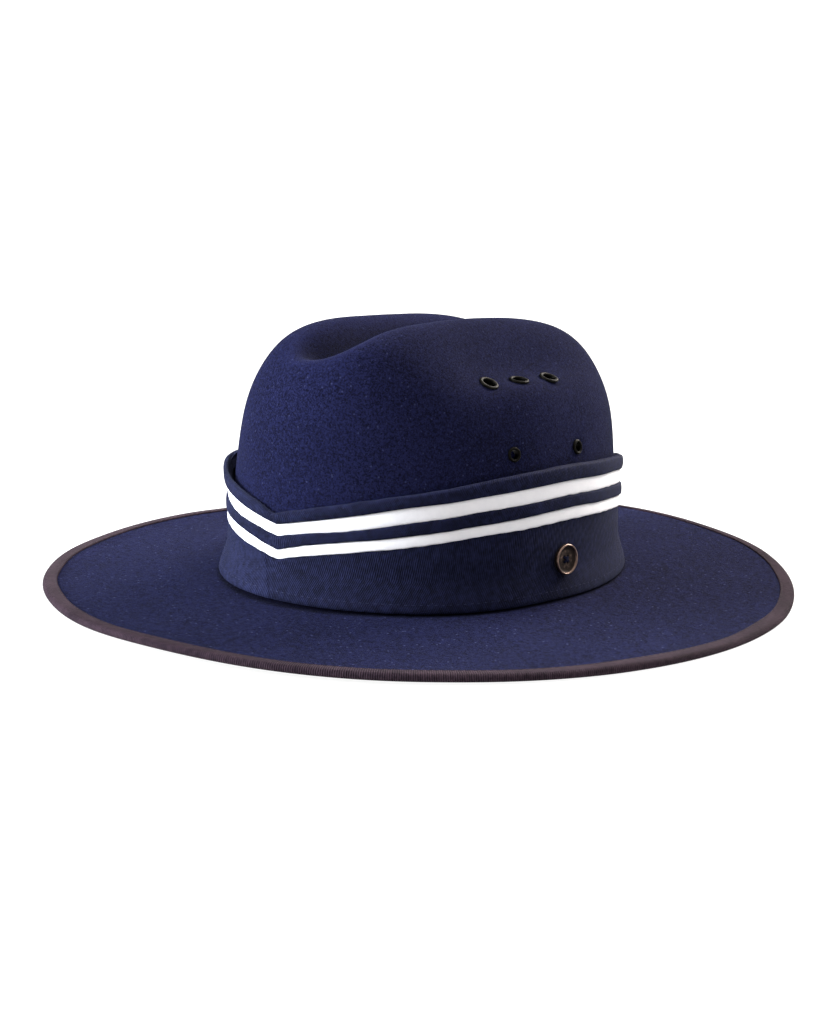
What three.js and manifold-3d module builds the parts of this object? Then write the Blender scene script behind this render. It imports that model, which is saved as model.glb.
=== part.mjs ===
// Wide-brimmed felt hat with a creased crown, a bound brim edge, a pleated cloth band with
// two pale stripes, a sewn button and metal vent eyelets.
// Millimetres. Up is +Z, the front of the hat is -Y, the wearer's left is +X.
// Turn angles start at the front and run towards the wearer's left.
import * as THREE from 'three';
import * as BufferGeometryUtils from 'three/addons/utils/BufferGeometryUtils.js';
import Module from 'manifold-3d';

const wasm = await Module();
wasm.setup();

const COLUMNS = 48; // facets round the head
const FELT_THICKNESS = 2.2;
const CLEARANCE = 0.3; // air left between separate pieces

const BRIM = {
  halfLength: 184.7,
  halfWidth: 166.3,
  squareness: 0.004, // share of the radius added on the four diagonals
  edgeMiddleHeight: 2.2, // middle of the edge above the table, at the two sides
  frontLift: 1.6, // how much higher the edge runs at the front than at the sides
  backLift: 4.2,
  sideFlatReach: 0.34, // cosine of the turn up to which a side lies flat on the table
  endLiftPower: 1.3,
  flatEdgeShare: 0.1, // outer share of the brim that stays level
  risePower: 1.5,
  innerTopHeight: 9.2, // felt surface where the crown starts, at the sides
  innerTiltPerMm: 0.015, // the same place rises towards the back
};

const CROWN = {
  halfLength: 100.0,
  halfWidth: 81.2,
  baseHeight: 9.6,
  topHeight: 126.3,
  domeStart: 0.45, // share of the height where the hand-made dents begin
  domeBlend: 0.45,
  endReach: 80, // distance from the middle at which the two drops below hold
  endDrop: 5.7, // fall of the ridge line towards both ends
  backDrop: 1.8, // further fall at the back, less at the front
  backFallPerMm: 0.064,
  leftRaise: 1.7, // the left ridge stands this much above the middle, the right one below
  raiseReach: 15,
};

// Shoulder of the crown by direction: a higher power is a squarer shoulder.
const CROWN_DIRECTIONS = {
  front: { shoulderPower: 6.3, lean: 0.023 },
  side: { shoulderPower: 3.65, lean: 0.075 },
  back: { shoulderPower: 6.7, lean: 0.034 },
  frontQuarter: { shoulderPower: 3.4 },
  backQuarter: { shoulderPower: 5.1 },
};

const CREASE = {
  depth: 18.3,
  halfWidth: 14.2,
  wallPower: 2.2,
  frontEnd: -81.1,
  frontBlend: 28,
  backEnd: 63.8,
  backBlend: 60,
};

const SIDE_HOLLOW = {
  depth: 14.4,
  fromMiddle: 50.3,
  along: -6.5,
  halfWidth: 14.0,
  halfLength: 47.5,
};

// Shares of the way from crown to brim edge, outermost first.
const BRIM_ROWS = [0.9867, 0.89, 0.68, 0.45, 0.22];

// Rounded corner where the brim turns up into the crown.
const BREAK_ROWS = [
  { outward: 4.0, rise: 0.0 },
  { outward: 1.9, rise: 1.2 },
  { outward: 0.5, rise: 4.6 },
  { outward: 0.0, rise: 9.0 },
];

// Rows up the crown, as angles of the dome curve.
const CROWN_ROWS = [14, 26, 36, 44, 51, 58, 65, 71.5, 77.5, 83.5];

const BINDING = {
  width: 7.0,
  cloth: 0.8,
  halfThickness: 2.2,
  roundInset: 0.8,
  roundHeight: 0.9,
  brimWidth: 84.0, // mean width of the brim, crown to edge
};

// Heights of the band's five edges above the table, by turn from the front, halfway between
// the wearer's two sides.
const BAND_EDGES = [
  { turn: 0, lowerFrom: 27.0, lowerTo: 31.0, upperFrom: 37.6, upperTo: 42.2, top: 46.6 },
  { turn: 10, lowerFrom: 29.8, lowerTo: 34.6, upperFrom: 40.5, upperTo: 45.3, top: 50.7 },
  { turn: 20, lowerFrom: 32.0, lowerTo: 37.1, upperFrom: 42.4, upperTo: 48.0, top: 53.7 },
  { turn: 30, lowerFrom: 34.0, lowerTo: 38.9, upperFrom: 44.6, upperTo: 50.6, top: 56.2 },
  { turn: 40, lowerFrom: 35.7, lowerTo: 40.7, upperFrom: 46.9, upperTo: 53.1, top: 58.6 },
  { turn: 50, lowerFrom: 37.4, lowerTo: 42.3, upperFrom: 48.7, upperTo: 54.8, top: 60.9 },
  { turn: 60, lowerFrom: 39.0, lowerTo: 43.9, upperFrom: 50.6, upperTo: 56.5, top: 62.9 },
  { turn: 75, lowerFrom: 40.3, lowerTo: 45.5, upperFrom: 51.8, upperTo: 57.7, top: 64.5 },
  { turn: 90, lowerFrom: 40.9, lowerTo: 46.3, upperFrom: 52.3, upperTo: 58.2, top: 65.0 },
  { turn: 102, lowerFrom: 40.2, lowerTo: 45.4, upperFrom: 51.6, upperTo: 57.4, top: 64.1 },
  { turn: 117, lowerFrom: 38.3, lowerTo: 43.6, upperFrom: 50.0, upperTo: 55.9, top: 62.3 },
  { turn: 134, lowerFrom: 34.9, lowerTo: 40.3, upperFrom: 46.8, upperTo: 52.5, top: 59.0 },
  { turn: 155, lowerFrom: 31.2, lowerTo: 36.6, upperFrom: 43.1, upperTo: 48.6, top: 55.0 },
  { turn: 180, lowerFrom: 29.5, lowerTo: 34.9, upperFrom: 41.3, upperTo: 46.8, top: 53.0 },
];
const BAND_TILT_PER_MM = 0.033; // the band sits higher on the wearer's left

// Section of the wide cloth: distances outward from the crown wall, at rises above its foot.
const CLOTH_FOOT = [
  { rise: 0.0, inner: 4.15, outer: 5.0 },
  { rise: 2.2, inner: 3.0, outer: 4.7 },
  { rise: 13.5, inner: 0.4, outer: 1.9 },
];

const BAND = {
  footGap: 0.45, // air between the cloth and the brim
  chestShare: 0.62, // share of the way from the foot's last row to the top
  chestInner: 0.45,
  chestOuter: 1.7,
  topInner: 1.45,
  topOuter: 2.6,
  topInset: 1.1, // the cloth ends this far below the top fold
  stripeCloth: 0.55,
  foldCloth: 1.3,
  foldRound: 0.5,
  hemCloth: 1.5,
  hemInner: 0.4,
  hemInnerCloth: 0.65,
  hemRound: 0.9,
  hemInnerDrop: 4.0,
  tuckDrop: 4.5, // the cloth leaves room for the fold's inner leaf down to here
  halfSlit: 0.15, // half the air between one strip and the next
};

// Sewn lap near the front of the wide cloth: the end on the wearer's right lies on top.
const LAP = { turn: -3.6, stepTurn: 0.6, lift: 0.7, fadeTurn: 22 };

const BUTTON = {
  turn: 86.5,
  height: 26.6,
  outward: 2.6, // back of the button, from the crown wall
  radius: 7.1,
  backRadius: 6.4,
  thickness: 2.6,
  rimWidth: 1.7,
  dishDepth: 1.1,
  holeRadius: 0.75,
  holeFromMiddle: 1.65,
  sides: 20,
  holeSides: 6,
};

const EYELET_SIDES = 10;
const UPPER_EYELET = { radius: 4.75, bore: 2.35, barrel: 2.85, innerRadius: 4.0 };
const LOWER_EYELET = { radius: 3.75, bore: 1.85, barrel: 2.3, innerRadius: 3.2 };
const EYELET_SHAPE = {
  seatDepth: 0.35,
  crown: 0.75,
  lip: 0.35,
  shoulderInset: 0.4,
  innerThickness: 0.5,
  lipInset: 0.45,
};

// Where each eyelet sits: turn from the front and angle of the dome curve.
const EYELETS = [
  { name: 'upper_front', turn: 67.1, climb: 48.5, size: UPPER_EYELET },
  { name: 'upper_middle', turn: 81.8, climb: 49.4, size: UPPER_EYELET },
  { name: 'upper_back', turn: 96.0, climb: 47.1, size: UPPER_EYELET },
  { name: 'lower_front', turn: 70.7, climb: 29.9, size: LOWER_EYELET },
  { name: 'lower_back', turn: 96.9, climb: 29.5, size: LOWER_EYELET },
];
const SIDES = [
  { name: 'left', sign: 1 },
  { name: 'right', sign: -1 },
];

const FINISH = {
  felt: { color: 0x24275a, roughness: 0.95, metalness: 0 },
  twill: { color: 0x20234f, roughness: 0.85, metalness: 0 },
  stripe: { color: 0xe9eaf0, roughness: 0.8, metalness: 0 },
  ribbon: { color: 0x2e2436, roughness: 0.75, metalness: 0 },
  bronze: { color: 0x5a4636, roughness: 0.45, metalness: 0.9 },
  gunmetal: { color: 0x4c483f, roughness: 0.35, metalness: 0.95 },
};

const radians = (degrees) => (degrees * Math.PI) / 180;
const clamp01 = (x) => Math.min(1, Math.max(0, x));
const smooth = (x) => clamp01(x) ** 2 * (3 - 2 * clamp01(x));
const bell = (x, power = 2) => Math.exp(-(Math.abs(x) ** power));

// Value of one column of a table at an angle, along a curve through the listed rows.
function tableAt(table, column, angle) {
  const last = table.length - 1;
  const at = Math.min(Math.max(angle, table[0].turn), table[last].turn);
  let i = 0;
  while (i < last - 1 && table[i + 1].turn < at) i += 1;
  const row = (k) => table[Math.min(Math.max(k, 0), last)];
  const slope = (k) => {
    const before = row(k - 1);
    const after = row(k + 1);
    return (after[column] - before[column]) / (after.turn - before.turn);
  };
  const span = row(i + 1).turn - row(i).turn;
  const t = (at - row(i).turn) / span;
  const h00 = 2 * t ** 3 - 3 * t ** 2 + 1;
  const h10 = t ** 3 - 2 * t ** 2 + t;
  const h01 = -2 * t ** 3 + 3 * t ** 2;
  const h11 = t ** 3 - t ** 2;
  return (
    h00 * row(i)[column] +
    h10 * span * slope(i) +
    h01 * row(i + 1)[column] +
    h11 * span * slope(i + 1)
  );
}

// Direction that points straight out of an oval, seen from above.
function ovalOutward(turn, halfLength, halfWidth) {
  const direction = new THREE.Vector3(Math.sin(turn) / halfWidth, -Math.cos(turn) / halfLength, 0);
  return direction.normalize();
}

// Middle of the brim's thickness, at a share of the way from crown to edge.
function brimMiddle(turn, share) {
  const grow = 1 + BRIM.squareness * Math.cos(4 * turn) * share;
  const halfLength = CROWN.halfLength + (BRIM.halfLength - CROWN.halfLength) * share;
  const halfWidth = CROWN.halfWidth + (BRIM.halfWidth - CROWN.halfWidth) * share;
  const reach = Math.max(0, Math.abs(Math.cos(turn)) - BRIM.sideFlatReach) / (1 - BRIM.sideFlatReach);
  const lift = Math.cos(turn) > 0 ? BRIM.frontLift : BRIM.backLift;
  const edge = BRIM.edgeMiddleHeight + lift * reach ** BRIM.endLiftPower;
  const innerY = -CROWN.halfLength * Math.cos(turn);
  const inner = BRIM.innerTopHeight - FELT_THICKNESS / 2 + BRIM.innerTiltPerMm * innerY;
  const levelFrom = 1 - BRIM.flatEdgeShare;
  const climb = (Math.max(0, levelFrom - share) / levelFrom) ** BRIM.risePower;
  return new THREE.Vector3(
    halfWidth * Math.sin(turn) * grow,
    -halfLength * Math.cos(turn) * grow,
    edge + (inner - edge) * climb,
  );
}

function directionMix(turn) {
  const across = Math.sin(turn) ** 2;
  const ahead = Math.max(0, Math.cos(turn)) ** 2;
  const behind = Math.max(0, -Math.cos(turn)) ** 2;
  const d = CROWN_DIRECTIONS;
  const power =
    d.front.shoulderPower * ahead ** 2 +
    d.side.shoulderPower * across ** 2 +
    d.back.shoulderPower * behind ** 2 +
    2 * across * (d.frontQuarter.shoulderPower * ahead + d.backQuarter.shoulderPower * behind);
  const lean = d.front.lean * ahead + d.side.lean * across + d.back.lean * behind;
  return { power, lean };
}

// How far the crease and the two side hollows press the dome down at a place in plan.
function dentDepth(x, y) {
  const c = CREASE;
  const front = smooth((y - c.frontEnd + c.frontBlend / 2) / c.frontBlend);
  const back = smooth((c.backEnd + c.backBlend / 2 - y) / c.backBlend);
  const crease = c.depth * front * back * bell(x / c.halfWidth, c.wallPower);
  const h = SIDE_HOLLOW;
  const acrossHollow = bell((Math.abs(x) - h.fromMiddle) / h.halfWidth);
  const alongHollow = bell((y - h.along) / h.halfLength);
  return crease + h.depth * acrossHollow * alongHollow;
}

// Outer surface of the crown. The climb runs from 0 at the wall's foot to 90 degrees on top.
function crownPoint(turn, climb) {
  const { power, lean } = directionMix(turn);
  const angle = Math.min(radians(climb), Math.PI / 2 - 1e-5);
  const slope = Math.tan(angle);
  const height = slope / (1 + slope ** power) ** (1 / power);
  const reach = Math.max(0, 1 - height ** power) ** (1 / power) * (1 - lean * height);
  const x = CROWN.halfWidth * Math.sin(turn) * reach;
  const y = -CROWN.halfLength * Math.cos(turn) * reach;
  const dome = smooth((height - CROWN.domeStart) / CROWN.domeBlend);
  const end = y / CROWN.endReach;
  const fall = CROWN.endDrop * end ** 2 + CROWN.backDrop * end ** 3 + CROWN.backFallPerMm * y;
  const raise = CROWN.leftRaise * Math.tanh(x / CROWN.raiseReach);
  const z = CROWN.baseHeight + (CROWN.topHeight - CROWN.baseHeight) * height;
  return new THREE.Vector3(x, y, z - dome * (fall + dentDepth(x, y) - raise));
}

// Point on the crown's upright wall at a height, moved outward by a distance.
function wallPoint(turn, z, outward) {
  const { power, lean } = directionMix(turn);
  const height = Math.max(0, (z - CROWN.baseHeight) / (CROWN.topHeight - CROWN.baseHeight));
  const reach = (1 - height ** power) ** (1 / power) * (1 - lean * height);
  const out = ovalOutward(turn, CROWN.halfLength, CROWN.halfWidth);
  return new THREE.Vector3(
    CROWN.halfWidth * Math.sin(turn) * reach + out.x * outward,
    -CROWN.halfLength * Math.cos(turn) * reach + out.y * outward,
    z,
  );
}

function brimTopHeight(turn) {
  return brimMiddle(turn, 0).z + FELT_THICKNESS / 2;
}

// Quads between two rings of equal count, closed round the head.
function stitchRings(triangles, firstRing, secondRing, count) {
  for (let i = 0; i < count; i += 1) {
    const j = (i + 1) % count;
    triangles.push(firstRing + i, firstRing + j, secondRing + j);
    triangles.push(firstRing + i, secondRing + j, secondRing + i);
  }
}

function meshGeometry(points, triangles) {
  const geometry = new THREE.BufferGeometry();
  const flat = points.flatMap((p) => [p.x, p.y, p.z]);
  geometry.setAttribute('position', new THREE.Float32BufferAttribute(flat, 3));
  geometry.setIndex(triangles);
  return geometry;
}

// A ring swept round the head: sectionAt gives the closed outline at one turn.
// Seen with outward to the right and up above, the outline runs counter-clockwise.
function sweepRing(turns, sectionAt) {
  const points = [];
  const triangles = [];
  const outlines = turns.map((turn) => sectionAt(turn));
  const count = outlines[0].length;
  outlines.forEach((outline) => points.push(...outline));
  turns.forEach((_, i) => {
    const next = (i + 1) % turns.length;
    stitchRings(triangles, next * count, i * count, count);
  });
  return meshGeometry(points, triangles);
}

function toManifold(geometry) {
  const bare = geometry.clone();
  bare.deleteAttribute('normal');
  bare.deleteAttribute('uv');
  const merged = BufferGeometryUtils.mergeVertices(bare, 1e-5);
  return new wasm.Manifold(
    new wasm.Mesh({
      numProp: 3,
      vertProperties: new Float32Array(merged.attributes.position.array),
      triVerts: new Uint32Array(merged.index.array),
    }),
  );
}

function fromManifold(solid) {
  const mesh = solid.getMesh();
  const geometry = new THREE.BufferGeometry();
  geometry.setAttribute('position', new THREE.BufferAttribute(new Float32Array(mesh.vertProperties), 3));
  geometry.setIndex(new THREE.BufferAttribute(new Uint32Array(mesh.triVerts), 1));
  return geometry;
}

// A turned shape whose axis is +Z, from a closed outline of radius and height.
function turned(outline, sides) {
  const closed = [...outline, outline[0]].map(([radius, z]) => new THREE.Vector2(radius, z));
  const geometry = new THREE.LatheGeometry(closed, sides);
  geometry.rotateX(Math.PI / 2);
  return geometry;
}

function placeOn(geometry, origin, normal) {
  const upright = new THREE.Vector3(0, 0, 1);
  const rotation = new THREE.Quaternion().setFromUnitVectors(upright, normal);
  geometry.applyQuaternion(rotation);
  geometry.translate(origin.x, origin.y, origin.z);
  return geometry;
}

const evenTurns = Array.from({ length: COLUMNS }, (_, i) => (i * 2 * Math.PI) / COLUMNS);
// The band adds two close columns, so that its sewn lap ends in a step.
const lapTurns = [LAP.turn, LAP.turn + LAP.stepTurn].map((turn) => radians(turn + 360));
const bandTurns = [...evenTurns, ...lapTurns].sort((a, b) => a - b);

function feltRows() {
  const half = new THREE.Vector3(0, 0, FELT_THICKNESS / 2);
  const brim = BRIM_ROWS.map((share) => evenTurns.map((turn) => brimMiddle(turn, share).add(half)));
  const corner = BREAK_ROWS.map(({ outward, rise }) =>
    evenTurns.map((turn) => {
      const top = brimTopHeight(turn);
      return wallPoint(turn, top + rise, outward);
    }),
  );
  const crown = CROWN_ROWS.map((climb) => evenTurns.map((turn) => crownPoint(turn, climb)));
  return [...brim, ...corner, ...crown];
}

// Outward normals of a grid of rings, from the neighbours of each point.
function gridNormals(rows, pole) {
  return rows.map((row, r) =>
    row.map((_, i) => {
      const before = row[(i + COLUMNS - 1) % COLUMNS];
      const after = row[(i + 1) % COLUMNS];
      const below = rows[Math.max(0, r - 1)][i];
      const above = r + 1 < rows.length ? rows[r + 1][i] : pole;
      const around = after.clone().sub(before);
      const upward = above.clone().sub(below);
      return around.cross(upward).normalize();
    }),
  );
}

function crownNormal(turn, climb) {
  const step = 0.01;
  const around = crownPoint(turn + step, climb).sub(crownPoint(turn - step, climb));
  const upward = crownPoint(turn, climb + 1).sub(crownPoint(turn, climb - 1));
  return around.cross(upward).normalize();
}

function feltShell() {
  const rows = feltRows();
  const pole = crownPoint(0, 90);
  const normals = gridNormals(rows, pole);
  const points = [];
  const triangles = [];
  rows.forEach((row) => points.push(...row));
  const topPole = points.push(pole) - 1;
  const under = points.length;
  rows.forEach((row, r) => {
    row.forEach((p, i) => points.push(p.clone().addScaledVector(normals[r][i], -FELT_THICKNESS)));
  });
  const underPole = points.push(pole.clone().add(new THREE.Vector3(0, 0, -FELT_THICKNESS))) - 1;
  for (let r = 0; r + 1 < rows.length; r += 1) {
    stitchRings(triangles, r * COLUMNS, (r + 1) * COLUMNS, COLUMNS);
    stitchRings(triangles, under + (r + 1) * COLUMNS, under + r * COLUMNS, COLUMNS);
  }
  stitchRings(triangles, under, 0, COLUMNS);
  const last = (rows.length - 1) * COLUMNS;
  for (let i = 0; i < COLUMNS; i += 1) {
    const j = (i + 1) % COLUMNS;
    triangles.push(last + i, last + j, topPole);
    triangles.push(under + last + j, under + last + i, underPole);
  }
  return meshGeometry(points, triangles);
}

function eyeletPlaces() {
  return SIDES.flatMap(({ name: side, sign }) =>
    EYELETS.map(({ name, turn, climb, size }) => {
      const at = radians(turn) * sign;
      return {
        name: `eyelet_${side}_${name}`,
        origin: crownPoint(at, climb),
        normal: crownNormal(at, climb),
        size,
      };
    }),
  );
}

// The hole and the pressed seats that one eyelet needs in the felt.
function eyeletCutter({ origin, normal, size }) {
  const seat = EYELET_SHAPE.seatDepth;
  const inside = -FELT_THICKNESS + seat;
  const seatRadius = size.radius + CLEARANCE;
  const holeRadius = size.barrel + CLEARANCE;
  const innerSeatRadius = size.innerRadius + CLEARANCE;
  const far = 4;
  const outline = [
    [0, far],
    [seatRadius, far],
    [seatRadius, -seat],
    [holeRadius, -seat],
    [holeRadius, inside],
    [innerSeatRadius, inside],
    [innerSeatRadius, inside - far],
    [0, inside - far],
  ].reverse();
  return placeOn(turned(outline, EYELET_SIDES), origin, normal);
}

function feltBody() {
  let body = toManifold(feltShell());
  eyeletPlaces().forEach((place) => {
    body = body.subtract(toManifold(eyeletCutter(place)));
  });
  return fromManifold(body);
}

// Ribbon folded over the brim edge: distances inward from the edge, heights from its middle.
function bindingGeometry() {
  const b = BINDING;
  const inside = b.halfThickness - b.cloth;
  const outline = [
    [b.width, b.halfThickness],
    [b.width, inside],
    [b.cloth, inside],
    [b.cloth, -inside],
    [b.width, -inside],
    [b.width, -b.halfThickness],
    [b.roundInset, -b.halfThickness],
    [0, -b.roundHeight],
    [0, b.roundHeight],
    [b.roundInset, b.halfThickness],
  ];
  return sweepRing(evenTurns, (turn) =>
    outline.map(([inset, lift]) => {
      const middle = brimMiddle(turn, 1 - inset / b.brimWidth);
      return middle.add(new THREE.Vector3(0, 0, lift));
    }),
  );
}

function edgeHeights(turn) {
  const degrees = Math.abs(THREE.MathUtils.radToDeg(Math.atan2(Math.sin(turn), Math.cos(turn))));
  const tilt = BAND_TILT_PER_MM * CROWN.halfWidth * Math.sin(turn);
  const at = (column) => tableAt(BAND_EDGES, column, degrees) + tilt;
  return {
    lowerFrom: at('lowerFrom'),
    lowerTo: at('lowerTo'),
    upperFrom: at('upperFrom'),
    upperTo: at('upperTo'),
    top: at('top'),
  };
}

function clothFoot(turn) {
  return brimTopHeight(turn) + BAND.footGap;
}

// Height at which the cloth starts to lean away from the crown.
function chestHeight(turn, top) {
  const waist = clothFoot(turn) + CLOTH_FOOT[CLOTH_FOOT.length - 1].rise;
  return waist + (top - waist) * BAND.chestShare;
}

// Distance from the crown wall to the cloth's outer face, above its foot.
function clothOuter(turn, z, top) {
  const chest = chestHeight(turn, top);
  const share = clamp01((z - chest) / (top - BAND.topInset - chest));
  return BAND.chestOuter + (BAND.topOuter - BAND.chestOuter) * share;
}

// Extra thickness of the lap: full at its sewn end, fading out towards the wearer's right.
function lapLift(turn) {
  const degrees = THREE.MathUtils.radToDeg(Math.atan2(Math.sin(turn), Math.cos(turn)));
  const behind = LAP.turn - degrees;
  if (behind < 0 || behind > LAP.fadeTurn) return 0;
  return LAP.lift * (1 - smooth(behind / LAP.fadeTurn));
}

// The wide cloth of the band, whole height, with its sewn lap.
function bandGeometry() {
  return sweepRing(bandTurns, (turn) => {
    const foot = clothFoot(turn);
    const edges = edgeHeights(turn);
    const chest = chestHeight(turn, edges.top);
    const lift = lapLift(turn);
    const joint = edges.lowerFrom - BAND.halfSlit;
    const jointOuter = clothOuter(turn, joint, edges.top);
    const inner = CLOTH_FOOT.map((row) => [row.inner, foot + row.rise]).reverse();
    const outer = CLOTH_FOOT.map((row) => [row.outer + lift, foot + row.rise]);
    const outline = [
      [BAND.topOuter, edges.top - BAND.topInset],
      [BAND.topInner, edges.top - BAND.topInset],
      [BAND.topInner, edges.top - BAND.tuckDrop],
      [BAND.chestInner, chest],
      ...inner,
      ...outer,
      [jointOuter + lift, joint - CLEARANCE],
      [jointOuter, joint],
      [BAND.chestOuter, chest],
    ];
    return outline.map(([outward, z]) => wallPoint(turn, z, outward));
  });
}

// A strip laid over the cloth between two of its edges; rounded when round is above zero.
function stripGeometry(fromColumn, toColumn, cloth, round) {
  return sweepRing(bandTurns, (turn) => {
    const edges = edgeHeights(turn);
    const low = edges[fromColumn] + BAND.halfSlit;
    const high = edges[toColumn] - BAND.halfSlit;
    const lowInner = clothOuter(turn, low, edges.top) + CLEARANCE;
    const highInner = clothOuter(turn, high, edges.top) + CLEARANCE;
    const backing = [
      [highInner, high],
      [lowInner, low],
    ];
    const square = [
      [lowInner + cloth, low],
      [highInner + cloth, high],
    ];
    const rounded = [
      [lowInner + cloth - round, low],
      [lowInner + cloth, low + round],
      [highInner + cloth, high - round],
      [highInner + cloth - round, high],
    ];
    const section = [...backing, ...(round > 0 ? rounded : square)];
    return section.map(([outward, z]) => wallPoint(turn, z, outward));
  });
}

// Top fold of the band: a hem that wraps over the cloth's upper edge.
function topFoldGeometry() {
  return sweepRing(bandTurns, (turn) => {
    const { upperTo, top } = edgeHeights(turn);
    const low = upperTo + BAND.halfSlit;
    const tuck = top - BAND.topInset + CLEARANCE;
    const innerLow = top - BAND.hemInnerDrop;
    const innerFace = BAND.hemInner + BAND.hemInnerCloth;
    const lowFace = clothOuter(turn, low, top) + CLEARANCE;
    const highFace = BAND.topOuter + CLEARANCE;
    const outline = [
      [highFace + BAND.hemCloth - BAND.hemRound, top],
      [BAND.hemInner, top],
      [BAND.hemInner, innerLow],
      [innerFace, innerLow],
      [innerFace, tuck],
      [highFace, tuck],
      [lowFace, low],
      [lowFace + BAND.hemCloth - BAND.foldRound, low],
      [lowFace + BAND.hemCloth, low + BAND.foldRound],
      [highFace + BAND.hemCloth, top - BAND.hemRound],
    ];
    return outline.map(([outward, z]) => wallPoint(turn, z, outward));
  });
}

function buttonGeometry() {
  const b = BUTTON;
  const dish = b.thickness - b.dishDepth;
  const rimInner = b.radius - b.rimWidth;
  const outline = [
    [0, 0],
    [b.backRadius, 0],
    [b.radius, (b.thickness * 2) / 5],
    [b.radius - b.rimWidth / 5, (b.thickness * 4) / 5],
    [b.radius - b.rimWidth / 2, b.thickness],
    [rimInner, (b.thickness + dish) / 2],
    [rimInner - b.rimWidth / 2, dish],
    [0, dish],
  ];
  let disc = toManifold(turned(outline, b.sides));
  [45, 135, 225, 315].forEach((angle) => {
    const hole = new THREE.CylinderGeometry(b.holeRadius, b.holeRadius, b.thickness * 3, b.holeSides);
    hole.rotateX(Math.PI / 2);
    const x = b.holeFromMiddle * Math.cos(radians(angle));
    const y = b.holeFromMiddle * Math.sin(radians(angle));
    hole.translate(x, y, 0);
    disc = disc.subtract(toManifold(hole));
  });
  const turn = radians(b.turn);
  const low = wallPoint(turn, b.height - b.radius, b.outward);
  const high = wallPoint(turn, b.height + b.radius, b.outward);
  const around = wallPoint(turn + 0.02, b.height, b.outward).sub(wallPoint(turn - 0.02, b.height, b.outward));
  const normal = around.cross(high.sub(low)).normalize();
  return placeOn(fromManifold(disc), wallPoint(turn, b.height, b.outward), normal);
}

function eyeletGeometry({ origin, normal, size }) {
  const e = EYELET_SHAPE;
  const seat = -e.seatDepth + CLEARANCE;
  const innerSeat = -FELT_THICKNESS + e.seatDepth - CLEARANCE;
  const outline = [
    [size.bore, e.lip],
    [size.bore, innerSeat - e.innerThickness],
    [size.innerRadius, innerSeat],
    [size.barrel, innerSeat],
    [size.barrel, seat],
    [size.radius, seat],
    [size.radius - e.shoulderInset, e.crown - e.lip / 2],
    [size.bore + e.lipInset, e.crown],
  ];
  return placeOn(turned(outline, EYELET_SIDES), origin, normal);
}

function piece(name, geometry, finish) {
  const mesh = new THREE.Mesh(geometry, new THREE.MeshStandardMaterial(FINISH[finish]));
  mesh.name = name;
  return mesh;
}

const hat = new THREE.Group();
hat.name = 'felt_hat';
hat.add(piece('felt_body', feltBody(), 'felt'));
hat.add(piece('brim_binding', bindingGeometry(), 'ribbon'));
hat.add(piece('band_cloth', bandGeometry(), 'twill'));
hat.add(piece('band_lower_stripe', stripGeometry('lowerFrom', 'lowerTo', BAND.stripeCloth, 0), 'stripe'));
hat.add(piece('band_middle_fold', stripGeometry('lowerTo', 'upperFrom', BAND.foldCloth, BAND.foldRound), 'twill'));
hat.add(piece('band_upper_stripe', stripGeometry('upperFrom', 'upperTo', BAND.stripeCloth, 0), 'stripe'));
hat.add(piece('band_top_fold', topFoldGeometry(), 'twill'));
hat.add(piece('band_button', buttonGeometry(), 'bronze'));
eyeletPlaces().forEach((place) => hat.add(piece(place.name, eyeletGeometry(place), 'gunmetal')));

export default hat;
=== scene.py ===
"""Wide-brimmed navy felt hat with a bound edge, a pleated band, a sewn button and vent eyelets.

The hat's surfaces are worked out in millimetres and its meshes are made in metres. Up is +Z, the
front of the hat is -Y and the wearer's left is +X. A turn angle starts at the front and runs
towards the wearer's left.
"""

import logging
import math
from collections.abc import Callable
from dataclasses import dataclass
from enum import Enum

import bmesh
import bpy
import numpy as np
from bpy.types import Material, Mesh, Node, NodeSocket, NodeTree, Object
from mathutils import Matrix, Vector

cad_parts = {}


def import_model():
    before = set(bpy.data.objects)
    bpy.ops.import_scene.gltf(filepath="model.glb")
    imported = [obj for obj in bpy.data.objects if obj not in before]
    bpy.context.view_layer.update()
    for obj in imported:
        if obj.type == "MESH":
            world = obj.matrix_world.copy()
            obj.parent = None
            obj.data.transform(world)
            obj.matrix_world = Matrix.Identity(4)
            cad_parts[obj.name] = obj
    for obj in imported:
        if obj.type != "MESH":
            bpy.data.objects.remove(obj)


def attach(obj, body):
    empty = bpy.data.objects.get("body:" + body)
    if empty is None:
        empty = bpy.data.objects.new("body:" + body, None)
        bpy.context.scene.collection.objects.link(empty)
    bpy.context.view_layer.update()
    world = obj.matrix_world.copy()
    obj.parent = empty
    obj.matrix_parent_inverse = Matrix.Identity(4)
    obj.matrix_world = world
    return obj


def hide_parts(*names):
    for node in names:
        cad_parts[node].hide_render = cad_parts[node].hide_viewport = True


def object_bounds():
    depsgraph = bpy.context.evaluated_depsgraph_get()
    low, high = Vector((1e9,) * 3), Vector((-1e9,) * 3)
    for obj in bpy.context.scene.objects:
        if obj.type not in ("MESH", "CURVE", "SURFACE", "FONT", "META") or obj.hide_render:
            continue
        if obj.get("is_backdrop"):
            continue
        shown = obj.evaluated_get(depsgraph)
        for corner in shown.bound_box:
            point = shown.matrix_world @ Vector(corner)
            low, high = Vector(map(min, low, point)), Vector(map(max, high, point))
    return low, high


MM = 0.001
Array = np.ndarray
Colour = tuple[float, float, float]
Placing = Callable[[Array], Array]
Profile = tuple[tuple[float, float], ...]
log = logging.getLogger("felt_hat")


class Slot(Enum):
    """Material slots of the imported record."""

    FELT = "navy_felt"
    RIBBON = "ribbed_ribbon"
    TWILL = "navy_twill"
    TAPE = "pale_tape"
    BRONZE = "aged_bronze"
    GUNMETAL = "aged_gunmetal"


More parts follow.
